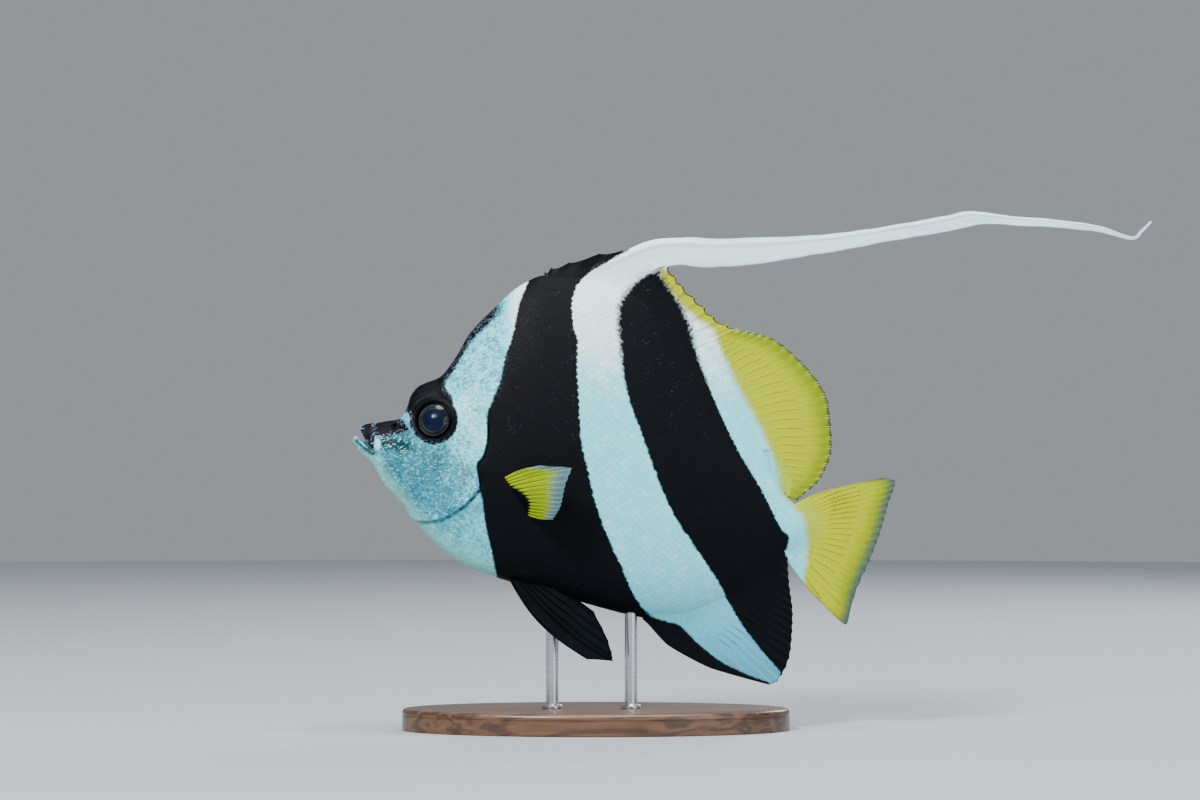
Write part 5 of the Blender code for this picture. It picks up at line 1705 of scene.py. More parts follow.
                size = float(np.clip(2.0 * np.interp(level, levels, gaps[:, number]), 0.6 * pitch,
                    1.5 * pitch))
                place = np.array([np.interp(level, levels, line[:, k]) for k in range(3)])
                ahead = np.array([np.interp(level + 1.0, levels, line[:, k]) for k in range(3)])
                lie = (ahead - place) / max(float(np.linalg.norm(ahead - place)), 1e-9)
                normal = np.cross(lie, other - line[len(line) // 3])
                normal = normal / max(float(np.linalg.norm(normal)), 1e-9)
                for sign in (-1.0, 1.0):
                    facing = normal if normal[1] * sign > 0.0 else -normal
                    rows["place"].append(place + 0.75 * facing)
                    rows["lie"].append(lie)
                    rows["facing"].append(facing)
                    rows["size"].append(size * rng.uniform(0.94, 1.06))
                    rows["unwrap"].append(
                        (0.02 + 0.96 * spot / across[-1], 0.27 + 0.25 * sign + 0.4 * rung / run[-1]))
        return {key: np.array(values) for key, values in rows.items()}

    def guide_of(self, piece: bpy.types.Object) -> bpy.types.Object:
        """Returns a helper copy of a piece that carries the direction it faces at each point."""
        mesh = piece.data.copy()
        set_vectors(mesh, "skin_facing", mesh_normals(mesh))
        return new_piece("scale_guide", mesh)

    def grow_piece(self, name: str, rows: dict[str, Array], guide: bpy.types.Object,
                   height: float = 1.0) -> None:
        """Lets the roots down on the guide, grows a scale on each and finishes the piece."""
        search = BVHTree.FromObject(guide, bpy.context.evaluated_depsgraph_get())
        normals = mesh_normals(guide.data)
        facings = []
        for i, spot in enumerate(to_world(rows["place"])):
            hit, _, index, _ = search.find_nearest(spot)
            rows["place"][i] = to_fish(np.array(hit))
            facings.append(normals[list(guide.data.polygons[index].vertices)].mean(axis=0))
        seeds = self.seed_points(name, rows, np.array(facings))
        piece = self.board.grow(name, seeds, scale_shape=self.shape, guide=guide, turn=0.07, height=height,
                                seed=self.seed, material=self.finish)
        self.dress(piece)
        declare(piece)

    def start(self, finish: bpy.types.Material) -> None:
        """Makes the one scale and the tree that every coat piece is grown with."""
        self.finish = finish
        self.shape = self.scale_shape()
        self.board = self.tree()

    def cover_body(self, skin: bpy.types.Object) -> None:
        """Covers the body with scales, as one coat piece for the head and one for each flank."""
        guide = self.guide_of(skin)
        sets = {"scales_head": [], "scales_flank_left": [], "scales_flank_right": []}
        for side in Side:
            rows = self.body_rows(side)
            keep = ~self.bare(rows["place"], rows["size"])
            rows = {key: values[keep] for key, values in rows.items()}
            ahead = rows["place"][:, 0] < 46.0
            flank = "scales_flank_left" if side is Side.LEFT else "scales_flank_right"
            sets["scales_head"].append({key: values[ahead] for key, values in rows.items()})
            sets[flank].append({key: values[~ahead] for key, values in rows.items()})
        for name, parts in sets.items():
            rows = {key: np.concatenate([part[key] for part in parts]) for key in parts[0]}
            self.grow_piece(name, rows, guide)
        bpy.data.objects.remove(guide)

    def cover_fin(self, name: str, slot: str, web: bpy.types.Object, patch: Array, outside: Array,
                  reach: float, pitch: float) -> None:
        """Covers the base of one fin with small scales."""
        guide = self.guide_of(web)
        self.grow_piece(name, self.fin_rows(patch, outside, reach, pitch), guide, self.fin_height)
        bpy.data.objects.remove(guide)

    def finish_up(self) -> None:
        """Removes the single scale that the coat was grown from."""
        bpy.data.objects.remove(self.shape)


def outside_body(points: Array, tail: bool = False) -> Array:
    """Returns how far points of the middle plane lie outside the body's profile.

    Args:
        points: rows of points of the fish.
        tail: whether to measure behind the tail root instead of above and below the body.
    """
    x = points[..., 0]
    z = points[..., 2]
    if tail:
        return x - (145.4 - 3.4 * ((z - 50.4) / 7.0) ** 2)
    return np.maximum(z - TOP_LINE(x), LOW_LINE(x) - z)


def root_swell(points: Array, tail: bool = False, under: float = 2.2, fall: float = 3.6) -> Array:
    """Returns the half thickness with which a fin's root swells out of the body, in millimetres.

    Args:
        points: rows of points of the fin's middle plane.
        tail: whether the fin stands behind the tail root instead of above or below the body.
        under: how deep in the body the fin's surface leaves the skin.
        fall: how far out the swelling falls off.
    """
    x = points[..., 0]
    z = points[..., 2]
    outside = outside_body(points, tail)
    back = np.maximum(outside + under, 0.0)
    if tail:
        foot = FORM.flank(x - back, z)
    else:
        foot = FORM.flank(x, np.where(z > 75.0, z - back, z + back))
    hidden = np.where(outside < -under, 0.15, 0.0)
    return np.maximum(foot - SKIN_DEPTH - hidden, 0.0) * np.exp(-back / fall)


FanKeys = tuple[tuple[float, tuple[float, ...], tuple[float, ...]], ...]


@dataclass
class FanFin:
    """A fin as a fan of rays with a thin web between them."""

    name: str
    node: str
    slot: str
    keys: FanKeys
    bow: tuple[float, float] = (0.0, 0.0)
    cup: float = 0.0
    side: float = 0.0
    branched: bool = True
    ray_root: float = 0.42
    ray_tip: float = 0.14
    web_root: float = 0.27
    web_tip: float = 0.07
    notch: float = 0.35
    tip_show: float = 0.12
    columns_per_ray: int = 12
    rows: int = 44
    flare: float = 0.0
    scaled: float = 0.0
    fringe: float = 0.0
    tail: float = 0.0
    trim: float = 0.0
    streamer_room: float = 5.0

    def __post_init__(self) -> None:
        """Mirrors a paired fin's keys and makes the lines between them."""
        placed = []
        for index, root, tip in self.keys:
            if len(root) == 2:
                root = (root[0], 0.0, root[1])
                tip = (tip[0], 0.0, tip[1])
            else:
                root = (root[0], self.side * root[1], root[2])
                tip = (tip[0], self.side * tip[1], tip[2])
            placed.append((index, root, tip))
        self.first = placed[0][0]
        self.last = placed[-1][0]
        self.roots = [Line(tuple((key[0], key[1][k]) for key in placed)) for k in range(3)]
        self.tips = [Line(tuple((key[0], key[2][k]) for key in placed)) for k in range(3)]

    def points(self, index: Array, u: Array) -> Array:
        """Returns points of the fin's middle surface.

        Args:
            index: the place in the count of rays.
            u: the share of the way from root to tip.
        """
        root = np.stack([line(index) for line in self.roots], axis=-1)
        tip = np.stack([line(index) for line in self.tips], axis=-1)
        run = tip - root
        flat = np.maximum(np.hypot(run[..., 0], run[..., 2]), 1e-6)
        sideways = np.stack([-run[..., 2], np.zeros_like(flat), run[..., 0]], axis=-1) / flat[..., None]
        share = (index - self.first) / (self.last - self.first)
        bend = self.bow[0] * (1.0 - share) + self.bow[1] * share
        spots = root + run * u[..., None] + sideways * (bend * np.sin(math.pi * u))[..., None]
        spots[..., 1] += self.side * self.cup * np.sin(math.pi * share) * u * (1.6 - u)
        return spots

    def ray_length(self, index: Array) -> Array:
        """Returns the length of the ray at this place in the count."""
        root = np.stack([line(index) for line in self.roots], axis=-1)
        tip = np.stack([line(index) for line in self.tips], axis=-1)
        return np.linalg.norm(tip - root, axis=-1)

    def facing(self) -> Array:
        """Returns the one direction that the web faces."""
        index, u = np.meshgrid(np.linspace(self.first, self.last, 20), np.linspace(0.0, 1.0, 20))
        middle = self.points(index, u)
        cross = np.cross(np.gradient(middle, axis=0), np.gradient(middle, axis=1)).reshape(-1, 3).sum(axis=0)
        return cross / np.linalg.norm(cross)

    def split(self, u: Array, count: int) -> Array:
        """Returns how far a branch has moved from its ray, as a share of the room between rays."""
        first = 0.21 * ease(u, 0.38, 0.72)
        second = 0.105 * ease(u, 0.68, 0.92)
        sign = np.where(count // 2 % 2 == 0, -1.0, 1.0)
        finer = np.where(count % 2 == 0, -1.0, 1.0)
        return sign * first + finer * second

    def drawn(self, index: Array, u: Array) -> Array:
        """Returns how far the free edge is drawn in between the rays, as a share of the way out."""
        between = np.abs(np.sin(math.pi * (index - self.first)))
        return 1.0 - self.notch * between / np.maximum(self.ray_length(index), 1.0) * u ** 6

    def creases(self, index: Array, u: Array) -> Array:
        """Returns how deep a spot lies in the folds between the rays and their branches, darkened as painted
        shade.
        """
        place = (index - self.first) % 1.0
        simple = hump(place - 0.5, 0.15)
        if not self.branched:
            return simple
        fine = np.maximum.reduce([
            hump(place - 0.5, 0.09), 0.7 * hump(place - 0.21, 0.045), 0.7 * hump(place - 0.79, 0.045),
            0.8 * hump(np.minimum(place, 1.0 - place), 0.045),
        ])
        share = ease(u, 0.42, 0.75)
        return simple * (1.0 - share) + fine * share

    def web(self) -> bpy.types.Mesh:
        """Makes the web as a thin closed sheet whose free edge is drawn in between the rays."""
        columns = int((self.last - self.first) * self.columns_per_ray) + 1
        index, u = np.meshgrid(np.linspace(self.first, self.last, columns), np.linspace(0.0, 1.0, self.rows))
        between = np.abs(np.sin(math.pi * (index - self.first)))
        length = self.ray_length(index)
        middle = self.points(index, u * self.drawn(index, u))
        ripple = 0.10 * np.sin(2.0 * math.pi * (index - self.first) + 0.6) * ease(u, 0.45, 1.0)
        half = self.web_root * (1.0 - u) + self.web_tip * u
        half = half + 0.12 * (1.0 - between) ** 2 * (1.0 - u)
        outside = outside_body(middle, self.tail > 0.0)
        if self.scaled > 0.0:
            girth = self.ray_root * (1.0 - u) + self.ray_tip * u + 0.03
            covered = ease(outside, self.scaled + 0.5, self.scaled - 2.5)
            half = half + np.maximum(girth - half, 0.0) * covered
        if self.flare > 0.0:
            half = np.hypot(half, self.flare * root_swell(middle, self.tail > 0.0))
        facing = self.facing()
        middle = middle + facing * ripple[..., None]
        mesh = thick_sheet(self.name + "_web", middle - facing * half[..., None],
            middle + facing * half[..., None])
        fields = {"reach": u, "margin": (1.0 - u) * length, "between": self.creases(index, u)}
        for key, values in fields.items():
            set_field(mesh, key, np.tile(values.ravel(), 2))
        for key in ("ray", "joint"):
            set_field(mesh, key, np.zeros(len(mesh.vertices)))
        return mesh

    def ray_lines(self) -> bpy.types.Mesh:
        """Makes the middle lines of the rays and their branches, with their girth."""
        points = []
        edges = []
        fields = {"girth": [], "reach": [], "margin": [], "joint": []}
        for k in range(int(self.first), int(self.last) + 1):
            length = float(self.ray_length(np.array(float(k))))
            branches = 4 if self.branched and length > 6.0 else 1
            for branch in range(branches):
                steps = np.linspace(0.0 if branch == 0 else 0.36, 1.0, 26 if branch == 0 else 18)
                offset = self.split(steps, np.array(branch)) if branches > 1 else np.zeros(len(steps))
                index = np.clip(k + offset, self.first, self.last)
                spots = self.points(index, steps * self.drawn(index, steps) * (1.0 + self.tip_show / length))
                thin = 1.0 - 0.30 * ease(steps, 0.38, 0.72) - 0.22 * ease(steps, 0.68,
                    0.95) if branches > 1 else 1.0
                girth = (self.ray_root * (1.0 - steps) + self.ray_tip * steps) * thin
                start = len(points)
                points += list(spots)
                edges += [(start + i, start + i + 1) for i in range(len(steps) - 1)]
                fields["girth"] += list(girth * MM)
                fields["reach"] += list(steps)
                fields["margin"] += list((1.0 - steps) * length)
                fields["joint"] += list(0.5 + 0.5 * np.sin(steps * length * 4.2))
        mesh = new_mesh(self.name + "_rays", np.array(points), [], edges)
        for key, values in fields.items():
            set_field(mesh, key, np.array(values))
        return mesh

    def build(self, tubes: GeometryTree, finish: bpy.types.Material, coat: ScaleCoat | None = None,
              axil: Points = ()) -> None:
        """Makes the web and the rays and dresses them.

        Args:
            tubes: the tree that turns lines into tapering tubes.
            finish: the fin's material.
            coat: the scales that cover the fin's base, if any.
            axil: the edge of a dark base on the side view, for a pectoral fin.
        """
        web = new_piece(self.name + "_web", self.web())
        web.data.materials.append(finish)
        rays = tubes.grow(self.name + "_rays", self.ray_lines(), sides=7, material=finish)
        count = len(rays.data.vertices)
        set_field(rays.data, "ray", np.ones(count))
        set_field(rays.data, "between", np.zeros(count))
        rays.data.shade_smooth()
        for piece in (web, rays):
            paint(piece.data)
            amount = len(piece.data.vertices)
            constants = {"tint": 0.5, "rim": 0.0, "gape": 0.0, "groove": 0.0, "fringe": self.fringe,
                "tail": self.tail,
                         "trim": self.trim}
            for key, value in constants.items():
                set_field(piece.data, key, np.full(amount, value))
            spots = to_fish(mesh_points(piece.data))
            if axil:
                set_field(piece.data, "axil", EdgeLine(axil).behind(spots[:, 0], spots[:, 2]))
            if self.name == "caudal":
                set_field(piece.data, "black", np.full(amount, -4.0))
        declare(web, (self.node,))
        declare(rays)
        if coat is not None:
            across = int((self.last - self.first) * 16)
            index, u = np.meshgrid(np.linspace(self.first, self.last, across), np.linspace(0.0, 0.95, 120))
            patch = self.points(index, u)
            outside = outside_body(patch, self.tail > 0.0)
            if self.trim > 0.0:
                beside = path_distance(patch[:, :, [0, 2]].reshape(-1, 2),
                    curve_through(Streamer.centre[:5], 60))
                outside = np.where(beside.reshape(outside.shape) < self.streamer_room, FAR, outside)
            coat.cover_fin(self.name + "_scales", self.slot, web, patch, outside, self.scaled, 1.35)


def tube_tree() -> GeometryTree:
    """Builds the tree that turns lines with a girth into tapering round tubes."""
    board = GeometryTree("fin_rays")
    board.input("Sides", "NodeSocketInt")
    board.input("Material", "NodeSocketMaterial")
    curve = board.add("GeometryNodeMeshToCurve")
    board.link(board.start.outputs["Geometry"], curve.inputs["Mesh"])
    profile = board.add("GeometryNodeCurvePrimitiveCircle")
    profile.inputs["Radius"].default_value = 1.0
    board.link(board.start.outputs["Sides"], profile.inputs["Resolution"])
    tube = board.add("GeometryNodeCurveToMesh")
    tube.inputs["Fill Caps"].default_value = True
    board.link(curve.outputs[0], tube.inputs["Curve"])
    board.link(profile.outputs["Curve"], tube.inputs["Profile Curve"])
    board.link(board.named("girth"), tube.inputs["Scale"])
    board.finish(tube.outputs[0])
    return board


DORSAL_FRONT_KEYS = (
    (0, (62.5, 127.0), (61.6, 131.9)), (1, (63.5, 127.0), (63.6, 133.3)), (2, (67.0, 127.2), (69.2, 135.0)),
    (3, (71.0, 127.0), (79.0, 137.9)), (4, (73.6, 126.8), (86.6, 139.0)),
)
DORSAL_REAR_KEYS = (
    (0, (79.0, 124.6), (101.2, 134.0)), (1, (89.5, 119.5), (103.7, 130.6)),
    (2, (93.2, 117.6), (105.9, 127.9)),
    (3, (96.6, 115.6), (109.5, 124.1)), (4, (99.8, 113.4), (112.8, 121.0)),
    (5, (102.6, 111.2), (115.7, 117.9)),
    (6, (105.4, 108.8), (120.0, 115.2)), (7, (107.6, 106.6), (123.2, 114.0)),
)
DORSAL_SOFT_KEYS = (
    (0, (108.2, 106.0), (123.9, 113.6)), (4, (113.2, 99.8), (133.0, 111.7)),
    (8, (118.2, 92.6), (143.8, 103.6)),
    (12, (123.0, 84.8), (152.6, 90.0)), (16, (127.6, 76.6), (153.7, 76.4)),
    (20, (131.8, 68.6), (150.2, 66.2)),
    (24, (136.0, 61.2), (142.6, 58.9)),
)
ANAL_KEYS = (
    (0, (92.8, 24.5), (92.9, 21.0)), (1, (96.5, 24.5), (100.9, 12.7)), (2, (99.5, 25.0), (114.6, 5.3)),
    (3, (103.5, 25.5), (133.5, 0.0)), (5, (108.0, 26.2), (137.6, 3.2)), (8, (114.0, 28.2), (140.5, 11.5)),
    (12, (122.0, 33.0), (141.1, 22.5)), (16, (130.0, 39.6), (139.9, 33.0)),
    (19, (135.4, 44.6), (139.4, 40.6)),
)
CAUDAL_KEYS = (
    (0, (139.6, 56.0), (157.5, 63.7)), (1, (140.2, 55.5), (170.6, 66.3)), (2, (140.8, 55.0), (174.0, 65.2)),
    (6, (142.0, 52.2), (171.5, 57.2)), (9, (142.4, 50.0), (169.6, 50.2)), (12, (142.0, 47.6), (166.8, 42.4)),
    (16, (139.4, 44.6), (160.6, 27.8)), (17, (138.6, 44.2), (157.9, 19.2)),
    (18, (137.6, 44.0), (149.6, 26.8)),
)
PECTORAL_KEYS = (
    (0, (47.8, 10.6, 65.4), (60.5, 23.0, 70.4)), (2, (48.8, 10.7, 64.4), (70.4, 31.0, 69.7)),
    (5, (50.8, 10.7, 61.8), (68.4, 30.8, 64.2)), (9, (53.4, 10.6, 58.4), (67.0, 29.6, 58.0)),
    (13, (56.0, 10.4, 55.0), (64.4, 25.5, 53.5)),
)
PECTORAL_AXIL = ((56.5, 54.7), (57.1, 58.2), (56.1, 60.4), (53.7, 62.4), (50.4, 64.3), (49.0, 66.0))
PELVIC_KEYS = (
    (0, (49.6, 2.6, 36.0), (75.2, 8.8, 8.6)), (1, (51.6, 2.6, 35.4), (83.6, 9.4, 8.0)),
    (3, (54.8, 2.5, 34.4), (82.0, 8.2, 13.6)), (5, (58.0, 2.4, 33.4), (77.4, 6.4, 23.0)),
)


class Fins:
    """All the rayed fins."""

    def build(self, coat: ScaleCoat) -> None:
        """Makes the median fins, the tail and the paired fins."""
        tubes = tube_tree()
        marked = FinFinish().make()
        slate = SlateFinish().make()
        flared = PectoralFinish().make()
        FanFin("spines_front", "dorsal_spines_front", "fin_dark", DORSAL_FRONT_KEYS, branched=False,
            ray_root=0.6,
               notch=0.8, flare=0.9, scaled=2.5).build(tubes, marked, coat)
        FanFin("spines_rear", "dorsal_spines_rear", "fin_white", DORSAL_REAR_KEYS, branched=False,
            ray_root=0.55,
               notch=1.1, flare=1.0, scaled=6.0, trim=1.0).build(tubes, marked, coat)
        FanFin("soft_dorsal", "dorsal_soft", "fin_yellow", DORSAL_SOFT_KEYS, (0.6, 0.2), flare=1.0,
            scaled=6.0,
               fringe=1.0).build(tubes, marked, coat)
        FanFin("anal", "anal_fin", "fin_dark", ANAL_KEYS, (0.8, 0.0), flare=1.0, ray_root=0.5, tip_show=0.0,
               scaled=9.0).build(tubes, marked, coat)
        FanFin("caudal", "caudal_fin", "fin_yellow", CAUDAL_KEYS, (0.9, -0.9), ray_root=0.46, scaled=3.5,
            fringe=1.0,
               tail=1.0, flare=1.0).build(tubes, marked, coat)
        for side in Side:
            stem = side.name.lower()
            FanFin("pectoral_" + stem, "pectoral_fin_" + stem, "fin_yellow", PECTORAL_KEYS, (0.8, -0.6),
                1.4, side.value,
                   ray_root=0.36, ray_tip=0.12, web_root=0.20).build(tubes, flared, axil=PECTORAL_AXIL)
            FanFin("pelvic_" + stem, "pelvic_fin_" + stem, "fin_dark", PELVIC_KEYS, (-3.2, 1.0), 0.5,
                side.value,
                   ray_root=0.55, columns_per_ray=24, tip_show=0.0).build(tubes, slate)


@dataclass
class Streamer:
    """The fourth dorsal spine with its long white streamer."""

    centre: Points = (
        (74.4, 128.0), (80.5, 131.0), (88.0, 134.4), (97.0, 138.0), (106.0, 138.7), (115.5, 138.1),
        (133.0, 139.1), (155.0, 141.6), (174.0, 144.7), (188.0, 147.1), (199.4, 149.3), (212.0, 148.4),
        (224.6, 147.6), (238.5, 145.9), (249.4, 142.9), (252.8, 145.3), (255.7, 148.2),
    )
    depths: Points = (
        (0.0, 8.6), (0.08, 8.9), (0.16, 8.8), (0.22, 9.2), (0.30, 8.4), (0.42, 6.0), (0.55, 4.8), (0.66, 5.0),
        (0.72, 3.2), (0.80, 2.6), (0.88, 2.1), (0.95, 1.2), (1.0, 0.6),
    )
    columns: int = 320
    rows: int = 23
    spine: float = 0.62
    lap: float = 1.3
    scaled: float = 11.0
    seed: int = 5

    def __post_init__(self) -> None:
        """Draws the wandering edges once."""
        rng = np.random.default_rng(self.seed)
        knots = np.linspace(0.0, 1.0, 46)
        self.upper = Line(tuple(zip(knots, rng.uniform(-0.16, 0.16, 46))))
        self.lower = Line(tuple(zip(knots, rng.uniform(-0.26, 0.20, 46))))
        self.line = curve_through(self.centre, 600)
        tangent = np.gradient(self.line, axis=0)
        tangent /= np.linalg.norm(tangent, axis=1)[:, None]
        self.across = np.column_stack([-tangent[:, 1], tangent[:, 0]])

    def points(self, share: Array, height: Array) -> Array:
        """Returns points of the middle surface, by share of the length and height from -1 to 1."""
        places = np.linspace(0.0, 1.0, len(self.line))
        fade = 1.0 - 0.62 * share
        edge = np.where(height > 0.0, self.upper(share), self.lower(share)) * fade * np.minimum(share / 0.1,
            1.0)
        lap = self.lap * ease(share, 0.16, 0.08) * (height < 0.0)
        start = 1.0 - 0.45 * ease(share, 0.035, 0.0) * (height > 0.0)
        reach = height * start * (0.5 * Line(self.depths)(share) + edge + lap)
        x = np.interp(share, places, self.line[:, 0]) + np.interp(share, places, self.across[:, 0]) * reach
        z = np.interp(share, places, self.line[:, 1]) + np.interp(share, places, self.across[:, 1]) * reach
        sway = 0.35 * np.sin(7.0 * share + 0.6) * share + 0.22 * height * np.sin(19.0 * share) * share
        return np.stack([x, sway, z], axis=-1)

    def build(self, finish: bpy.types.Material, coat: ScaleCoat) -> None:
        """Makes the streamer as one soft blade with its spine along the upper edge."""
        share, height = np.meshgrid(np.linspace(0.0, 1.0, self.columns), np.linspace(-1.0, 1.0, self.rows))
        middle = self.points(share, height)
        fade = 1.0 - 0.62 * share
        half = 0.10 + 0.18 * (1.0 - np.abs(height)) * fade + self.spine * hump(height - 0.62, 0.20) * fade
        half = half * (1.0 - ease(share, 0.27, 0.17) * ease(height, -0.55, -1.0)) + 0.02
        half = np.hypot(half, root_swell(middle))
        facing = np.array([0.0, 1.0, 0.0])
        mesh = thick_sheet("pennant", middle - facing * half[..., None], middle + facing * half[..., None])
        set_field(mesh, "edge", np.tile((np.abs(height) * ease(share, 0.08, 0.20)).ravel(), 2))
        paint(mesh)
        lead = np.where(to_fish(mesh_points(mesh))[:, 0] < 90.0, get_field(mesh, "black"), -4.0)
        set_field(mesh, "lead", lead)
        mesh.materials.append(finish)
        piece = new_piece("pennant", mesh)
        declare(piece, ("pennant_root", "pennant_middle", "pennant_tip"))
        across, out = np.meshgrid(np.linspace(-0.92, 0.92, 60), np.linspace(0.0, 0.27, 200))
        patch = self.points(out, across)
        coat.cover_fin("pennant_scales", "fin_white", piece, patch, outside_body(patch), self.scaled, 1.6)


@dataclass
class Eye:
    """An eyeball with a recessed ringed iris, a bulging pupil and a clear cornea."""

    radius: float = 6.6
    depth: float = 4.5
    proud: float = 1.3
    iris_radius: float = 5.75
    pupil_radius: float = 3.5
    fold_rate: float = 6.8
    segments: int = 96

    def dome(self, r: Array) -> Array:
        """Returns the eyeball's height over its middle at a distance from its axis."""
        return self.depth * np.sqrt(np.maximum(1.0 - (r / self.radius) ** 2, 0.0))

    def turned(self, name: str, side: Side, profile: Array) -> bpy.types.Mesh:
        """Turns a profile of (radius, height) rows round the eye's axis into a closed mesh."""
        centre, turn = eye_frame(side)
        around = 2.0 * math.pi * np.arange(self.segments) / self.segments
        local = np.zeros((len(profile), self.segments, 3))
        local[..., 0] = profile[:, None, 0] * np.cos(around)
        local[..., 1] = profile[:, None, 0] * np.sin(around)
        local[..., 2] = profile[:, None, 1]
        points = local.reshape(-1, 3) @ np.array(turn).T + np.array(centre)
        faces = []
        for i in range(len(profile) - 1):
            for j in range(self.segments):
                after = (j + 1) % self.segments
                a = i * self.segments
                faces.append((a + j, a + after, a + self.segments + after, a + self.segments + j))
        mesh = new_mesh(name, points, faces)
        set_field(mesh, "radius", np.repeat(profile[:, 0], self.segments))
        face_outwards(mesh, 0.000004)
        mesh.shade_smooth()
        return mesh

    def ball_profile(self) -> Array:
        """Returns the eyeball's profile: pupil, iris folds, outer ring and back."""
        rows = []
        for r in np.linspace(0.001, self.pupil_radius, 16):
            rows.append((r, float(self.dome(np.array(0.0))) - 0.55 - 0.95 * (r / self.pupil_radius) ** 2.4))
        rim_height = rows[-1][1]
        rows.append((self.pupil_radius + 0.04, rim_height + 0.26))
        for r in np.linspace(self.pupil_radius + 0.16, self.iris_radius, 30):
            share = (r - self.pupil_radius) / (self.iris_radius - self.pupil_radius)
            target = float(self.dome(np.array(self.iris_radius))) - 0.22
            fold = 0.08 * math.sin(self.fold_rate * r)
            rows.append((r, (rim_height + 0.34) * (1.0 - share) + target * share + fold))
        rows.append((self.iris_radius + 0.10, float(self.dome(np.array(self.iris_radius + 0.10))) - 0.06))
        for r in np.linspace(self.iris_radius + 0.25, self.radius - 0.03, 14):
            rows.append((r, float(self.dome(np.array(r)))))
        for turn in np.linspace(0.0, 0.5 * math.pi, 12):
            rows.append((max(self.radius * math.cos(turn), 0.001), -self.depth * math.sin(turn)))
        return np.array(rows)

    def cornea_profile(self) -> Array:
        """Returns the clear dome's profile, a thin shell over the iris."""
        outer = np.linspace(0.001, self.iris_radius + 0.22, 26)
        top = [(r, float(self.dome(np.array(r))) + 0.05 + 0.30 * (1.0 - (r / 5.6) ** 2)) for r in outer]
        under = [(r, z - 0.10) for r, z in reversed(top)]
        return np.array(top + under)

    def build(self, ball: bpy.types.Material, cornea: bpy.types.Material) -> None:
        """Makes both eyes."""
        for side in Side:
            stem = side.name.lower()
            mesh = self.turned("eyeball_" + stem, side, self.ball_profile())
            mesh.materials.append(ball)
            declare(new_piece("eyeball_" + stem, mesh), ("eye_" + stem,))
            clear = self.turned("cornea_" + stem, side, self.cornea_profile())
            clear.materials.append(cornea)
            declare(new_piece("cornea_" + stem, clear))


@dataclass
class Stand:
    """The oval wooden base and the two steel rods that hold the fish."""

    length: float = 124.0
    width: float = 66.0
    height: float = BASE_HEIGHT
    edge: float = 1.2
    rod_radius: float = 2.0
    socket: float = 3.0
    stations: tuple[tuple[str, float], ...] = (("stand_rod_front", 64.0), ("stand_rod_rear", 89.2))
    segments: int = 160

    def base(self) -> bpy.types.Mesh:
        """Makes the base with a rounded upper edge, a fine step under it and a soft lower edge."""
        profile = [(0.001, 0.0), (1.4, 0.0)]
        for turn in np.linspace(0.0, 0.5 * math.pi, 5):
            profile.append((0.35 * (1.0 - math.sin(turn)), 0.35 * (1.0 - math.cos(turn))))
        profile += [(0.0, 4.6), (0.25, 4.75), (0.25, 5.1), (0.0, 5.25)]
        for turn in np.linspace(0.0, 0.5 * math.pi, 7):
            inset = self.edge * (1.0 - math.cos(turn))
            profile.append((inset, self.height - self.edge * (1.0 - math.sin(turn))))
        rows = [row for row in profile[1:]]
        around = 2.0 * math.pi * np.arange(self.segments) / self.segments
        points = []
        for inset, z in rows:
            x = (0.5 * self.length - inset) * np.cos(around)
            y = (0.5 * self.width - inset) * np.sin(around)
            points.append(np.column_stack([x, y, np.full(self.segments, z)]))
        count = self.segments
        points = np.vstack(points)
        faces = [tuple(range(count)), tuple(range(len(points) - 1, len(points) - count - 1, -1))]
        for i in range(len(rows) - 1):
            for j in range(count):
                after = (j + 1) % count
                faces.append((i * count + j, i * count + after, (i + 1) * count + after, (i + 1) * count + j))
        mesh = bpy.data.meshes.new("display_base")
        mesh.from_pydata([tuple(p) for p in points * MM], [], faces)
        face_outwards(mesh)
        mesh.shade_smooth()
        mesh.set_sharp_from_angle(angle=math.radians(28.0))
        return mesh

    def rod(self, name: str, station: float) -> bpy.types.Mesh:
        """Makes one rod with a small collar where it enters the base."""
        top = float(LOW_LINE(np.array(station))) + LIFT + 1.6
        foot = self.height
        profile = [(0.001, foot - self.socket + 0.4), (self.rod_radius, foot - self.socket + 0.4),
                   (self.rod_radius, foot - 0.02), (3.1, foot - 0.02), (3.25, foot + 0.15),
                   (3.25, foot + 0.9),
                   (3.05, foot + 1.15), (self.rod_radius + 0.12, foot + 1.25), (self.rod_radius, foot + 1.4),
                   (self.rod_radius, top - 0.5), (self.rod_radius - 0.4, top), (0.001, top)]
        sides = 48
        around = 2.0 * math.pi * np.arange(sides) / sides
        points = []
        for radius, z in profile:
            points.append(np.column_stack(
                [radius * np.cos(around) + station + SNOUT_X, radius * np.sin(around),
                                           np.full(sides, z)]))
        faces = []
        for i in range(len(profile) - 1):
            for j in range(sides):
                after = (j + 1) % sides
                faces.append((i * sides + j, i * sides + after, (i + 1) * sides + after, (i + 1) * sides + j))
        mesh = bpy.data.meshes.new(name)
        mesh.from_pydata([tuple(p) for p in np.vstack(points) * MM], [], faces)
        face_outwards(mesh, 0.000004)
        mesh.shade_smooth()
        mesh.set_sharp_from_angle(angle=math.radians(35.0))
        return mesh

    def build(self, wood: bpy.types.Material, steel: bpy.types.Material) -> None:
        """Makes and dresses the stand."""
        base = self.base()
        base.materials.append(wood)
        declare(new_piece("display_base", base), ("stand_base",))
        for node, station in self.stations:
            name = node.replace("stand_", "display_")
            rod = self.rod(name, station)
            rod.materials.append(steel)
            declare(new_piece(name, rod), (node,))


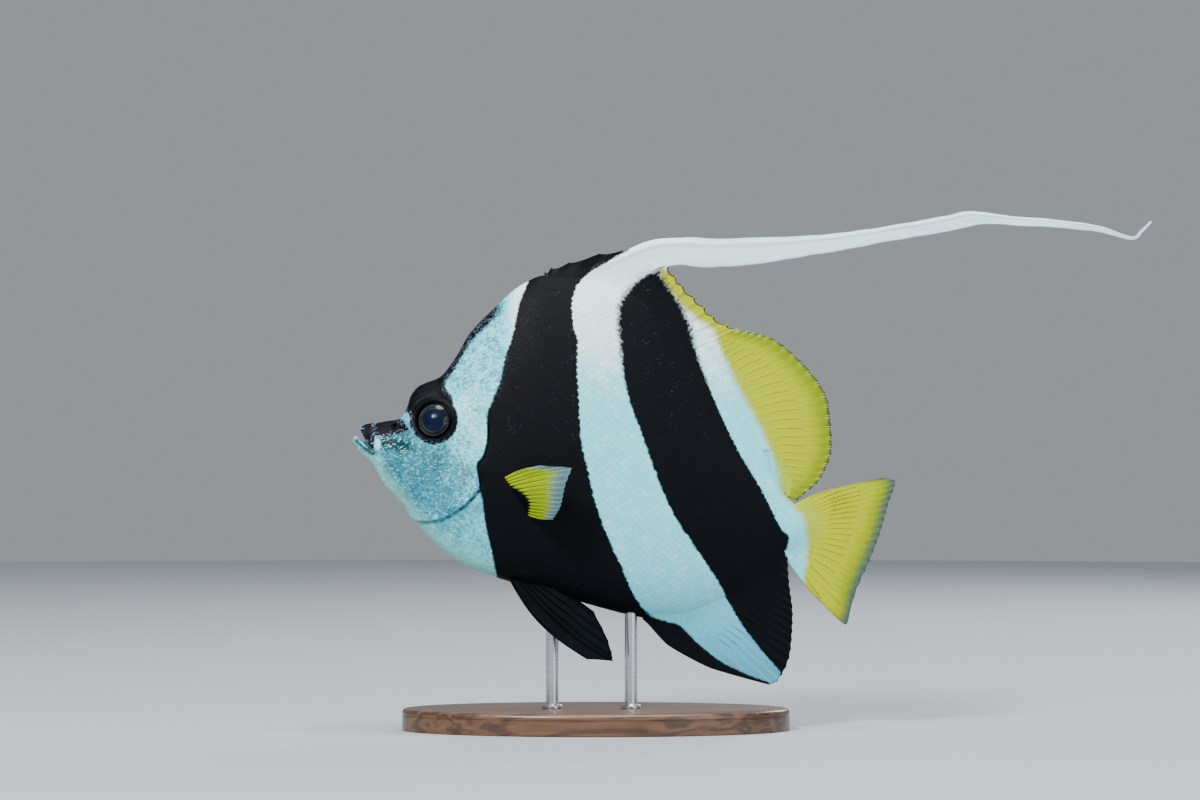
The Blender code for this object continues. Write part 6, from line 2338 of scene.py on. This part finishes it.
@dataclass
class Studio:
    """Pale round floor, soft lights and the camera at the photo's viewing angle."""

    frame_width: float = 384.0
    centre_x: float = 1.3
    centre_z: float = 105.6
    distance: float = 1500.0
    sensor: float = 36.0
    floor_tone: Colour = (0.38, 0.41, 0.44)
    floor_radius: float = 1.6
    floor_sides: int = 128

    def floor(self) -> None:
        """Makes the floor, a disc that ends where it is as pale as what surrounds it."""
        around = 2.0 * math.pi * np.arange(self.floor_sides) / self.floor_sides
        points = [(self.floor_radius * math.cos(turn), self.floor_radius * math.sin(turn), 0.0)
            for turn in around]
        mesh = bpy.data.meshes.new("studio_floor")
        mesh.from_pydata(points, [], [tuple(range(self.floor_sides))])
        board = NodeBoard("studio_floor")
        tone = board.mix(board.noise(240.0, 2.0), self.floor_tone, tuple(0.96 * c for c in self.floor_tone))
        mesh.materials.append(board.surface(tone, 0.85))
        floor = new_piece("studio_floor", mesh)

    def lamp(self, name: str, spot: tuple, aim: tuple, size: float, power: float, colour: Colour) -> None:
        """Adds one soft square light."""
        data = bpy.data.lights.new(name, "AREA")
        data.size = size
        data.energy = power
        data.color = colour
        lamp = bpy.data.objects.new(name, data)
        lamp.location = spot
        lamp.rotation_euler = (Vector(aim) - Vector(spot)).to_track_quat("-Z", "Y").to_euler()
        bpy.context.scene.collection.objects.link(lamp)

    def build(self) -> None:
        """Makes the floor, lights, surroundings and camera."""
        self.floor()
        middle = (0.0, 0.0, 0.1)
        self.lamp("key", (-0.50, -1.05, 0.95), middle, 0.34, 29.0, (1.0, 0.99, 0.97))
        self.lamp("fill", (0.9, -1.0, 0.40), middle, 0.8, 6.0, (0.92, 0.97, 1.0))
        self.lamp("top", (0.1, -0.10, 1.2), middle, 0.6, 15.0, (1.0, 1.0, 1.0))
        self.lamp("rim", (0.5, 0.9, 0.7), middle, 0.5, 8.0, (0.95, 0.98, 1.0))
        world = bpy.data.worlds.new("studio")
        world.use_nodes = True
        light = world.node_tree.nodes["Background"]
        light.inputs["Color"].default_value = (0.90, 0.95, 1.0, 1.0)
        light.inputs["Strength"].default_value = 0.35
        bpy.context.scene.world = world
        data = bpy.data.cameras.new("camera")
        data.sensor_width = self.sensor
        data.lens = self.sensor * self.distance / self.frame_width
        data.clip_start = 0.05
        data.clip_end = 50.0
        camera = bpy.data.objects.new("camera", data)
        camera.location = (self.centre_x * MM, -self.distance * MM, self.centre_z * MM)
        camera.rotation_euler = (0.5 * math.pi, 0.0, 0.0)
        bpy.context.scene.collection.objects.link(camera)
        bpy.context.scene.camera = camera


def main() -> None:
    """Builds the looks in order."""
    logging.basicConfig(level=logging.INFO, format="%(message)s")
    for leftover in [item for item in bpy.data.objects if item.name in ("Cube", "Light", "Camera")]:
        bpy.data.objects.remove(leftover)
    Studio().build()
    skin_finish = SkinFinish().make()
    skin = Skin().build(skin_finish)
    coat = ScaleCoat()
    coat.start(skin_finish)
    coat.cover_body(skin)
    MouthLining().build(MouthFinish().make())
    Fins().build(coat)
    Streamer().build(StreamerFinish().make(), coat)
    coat.finish_up()
    Eye().build(EyeFinish().make(), CorneaFinish().make())
    Stand().build(WoodFinish().make(), SteelFinish().make())


if __name__ == "__main__":
    main()
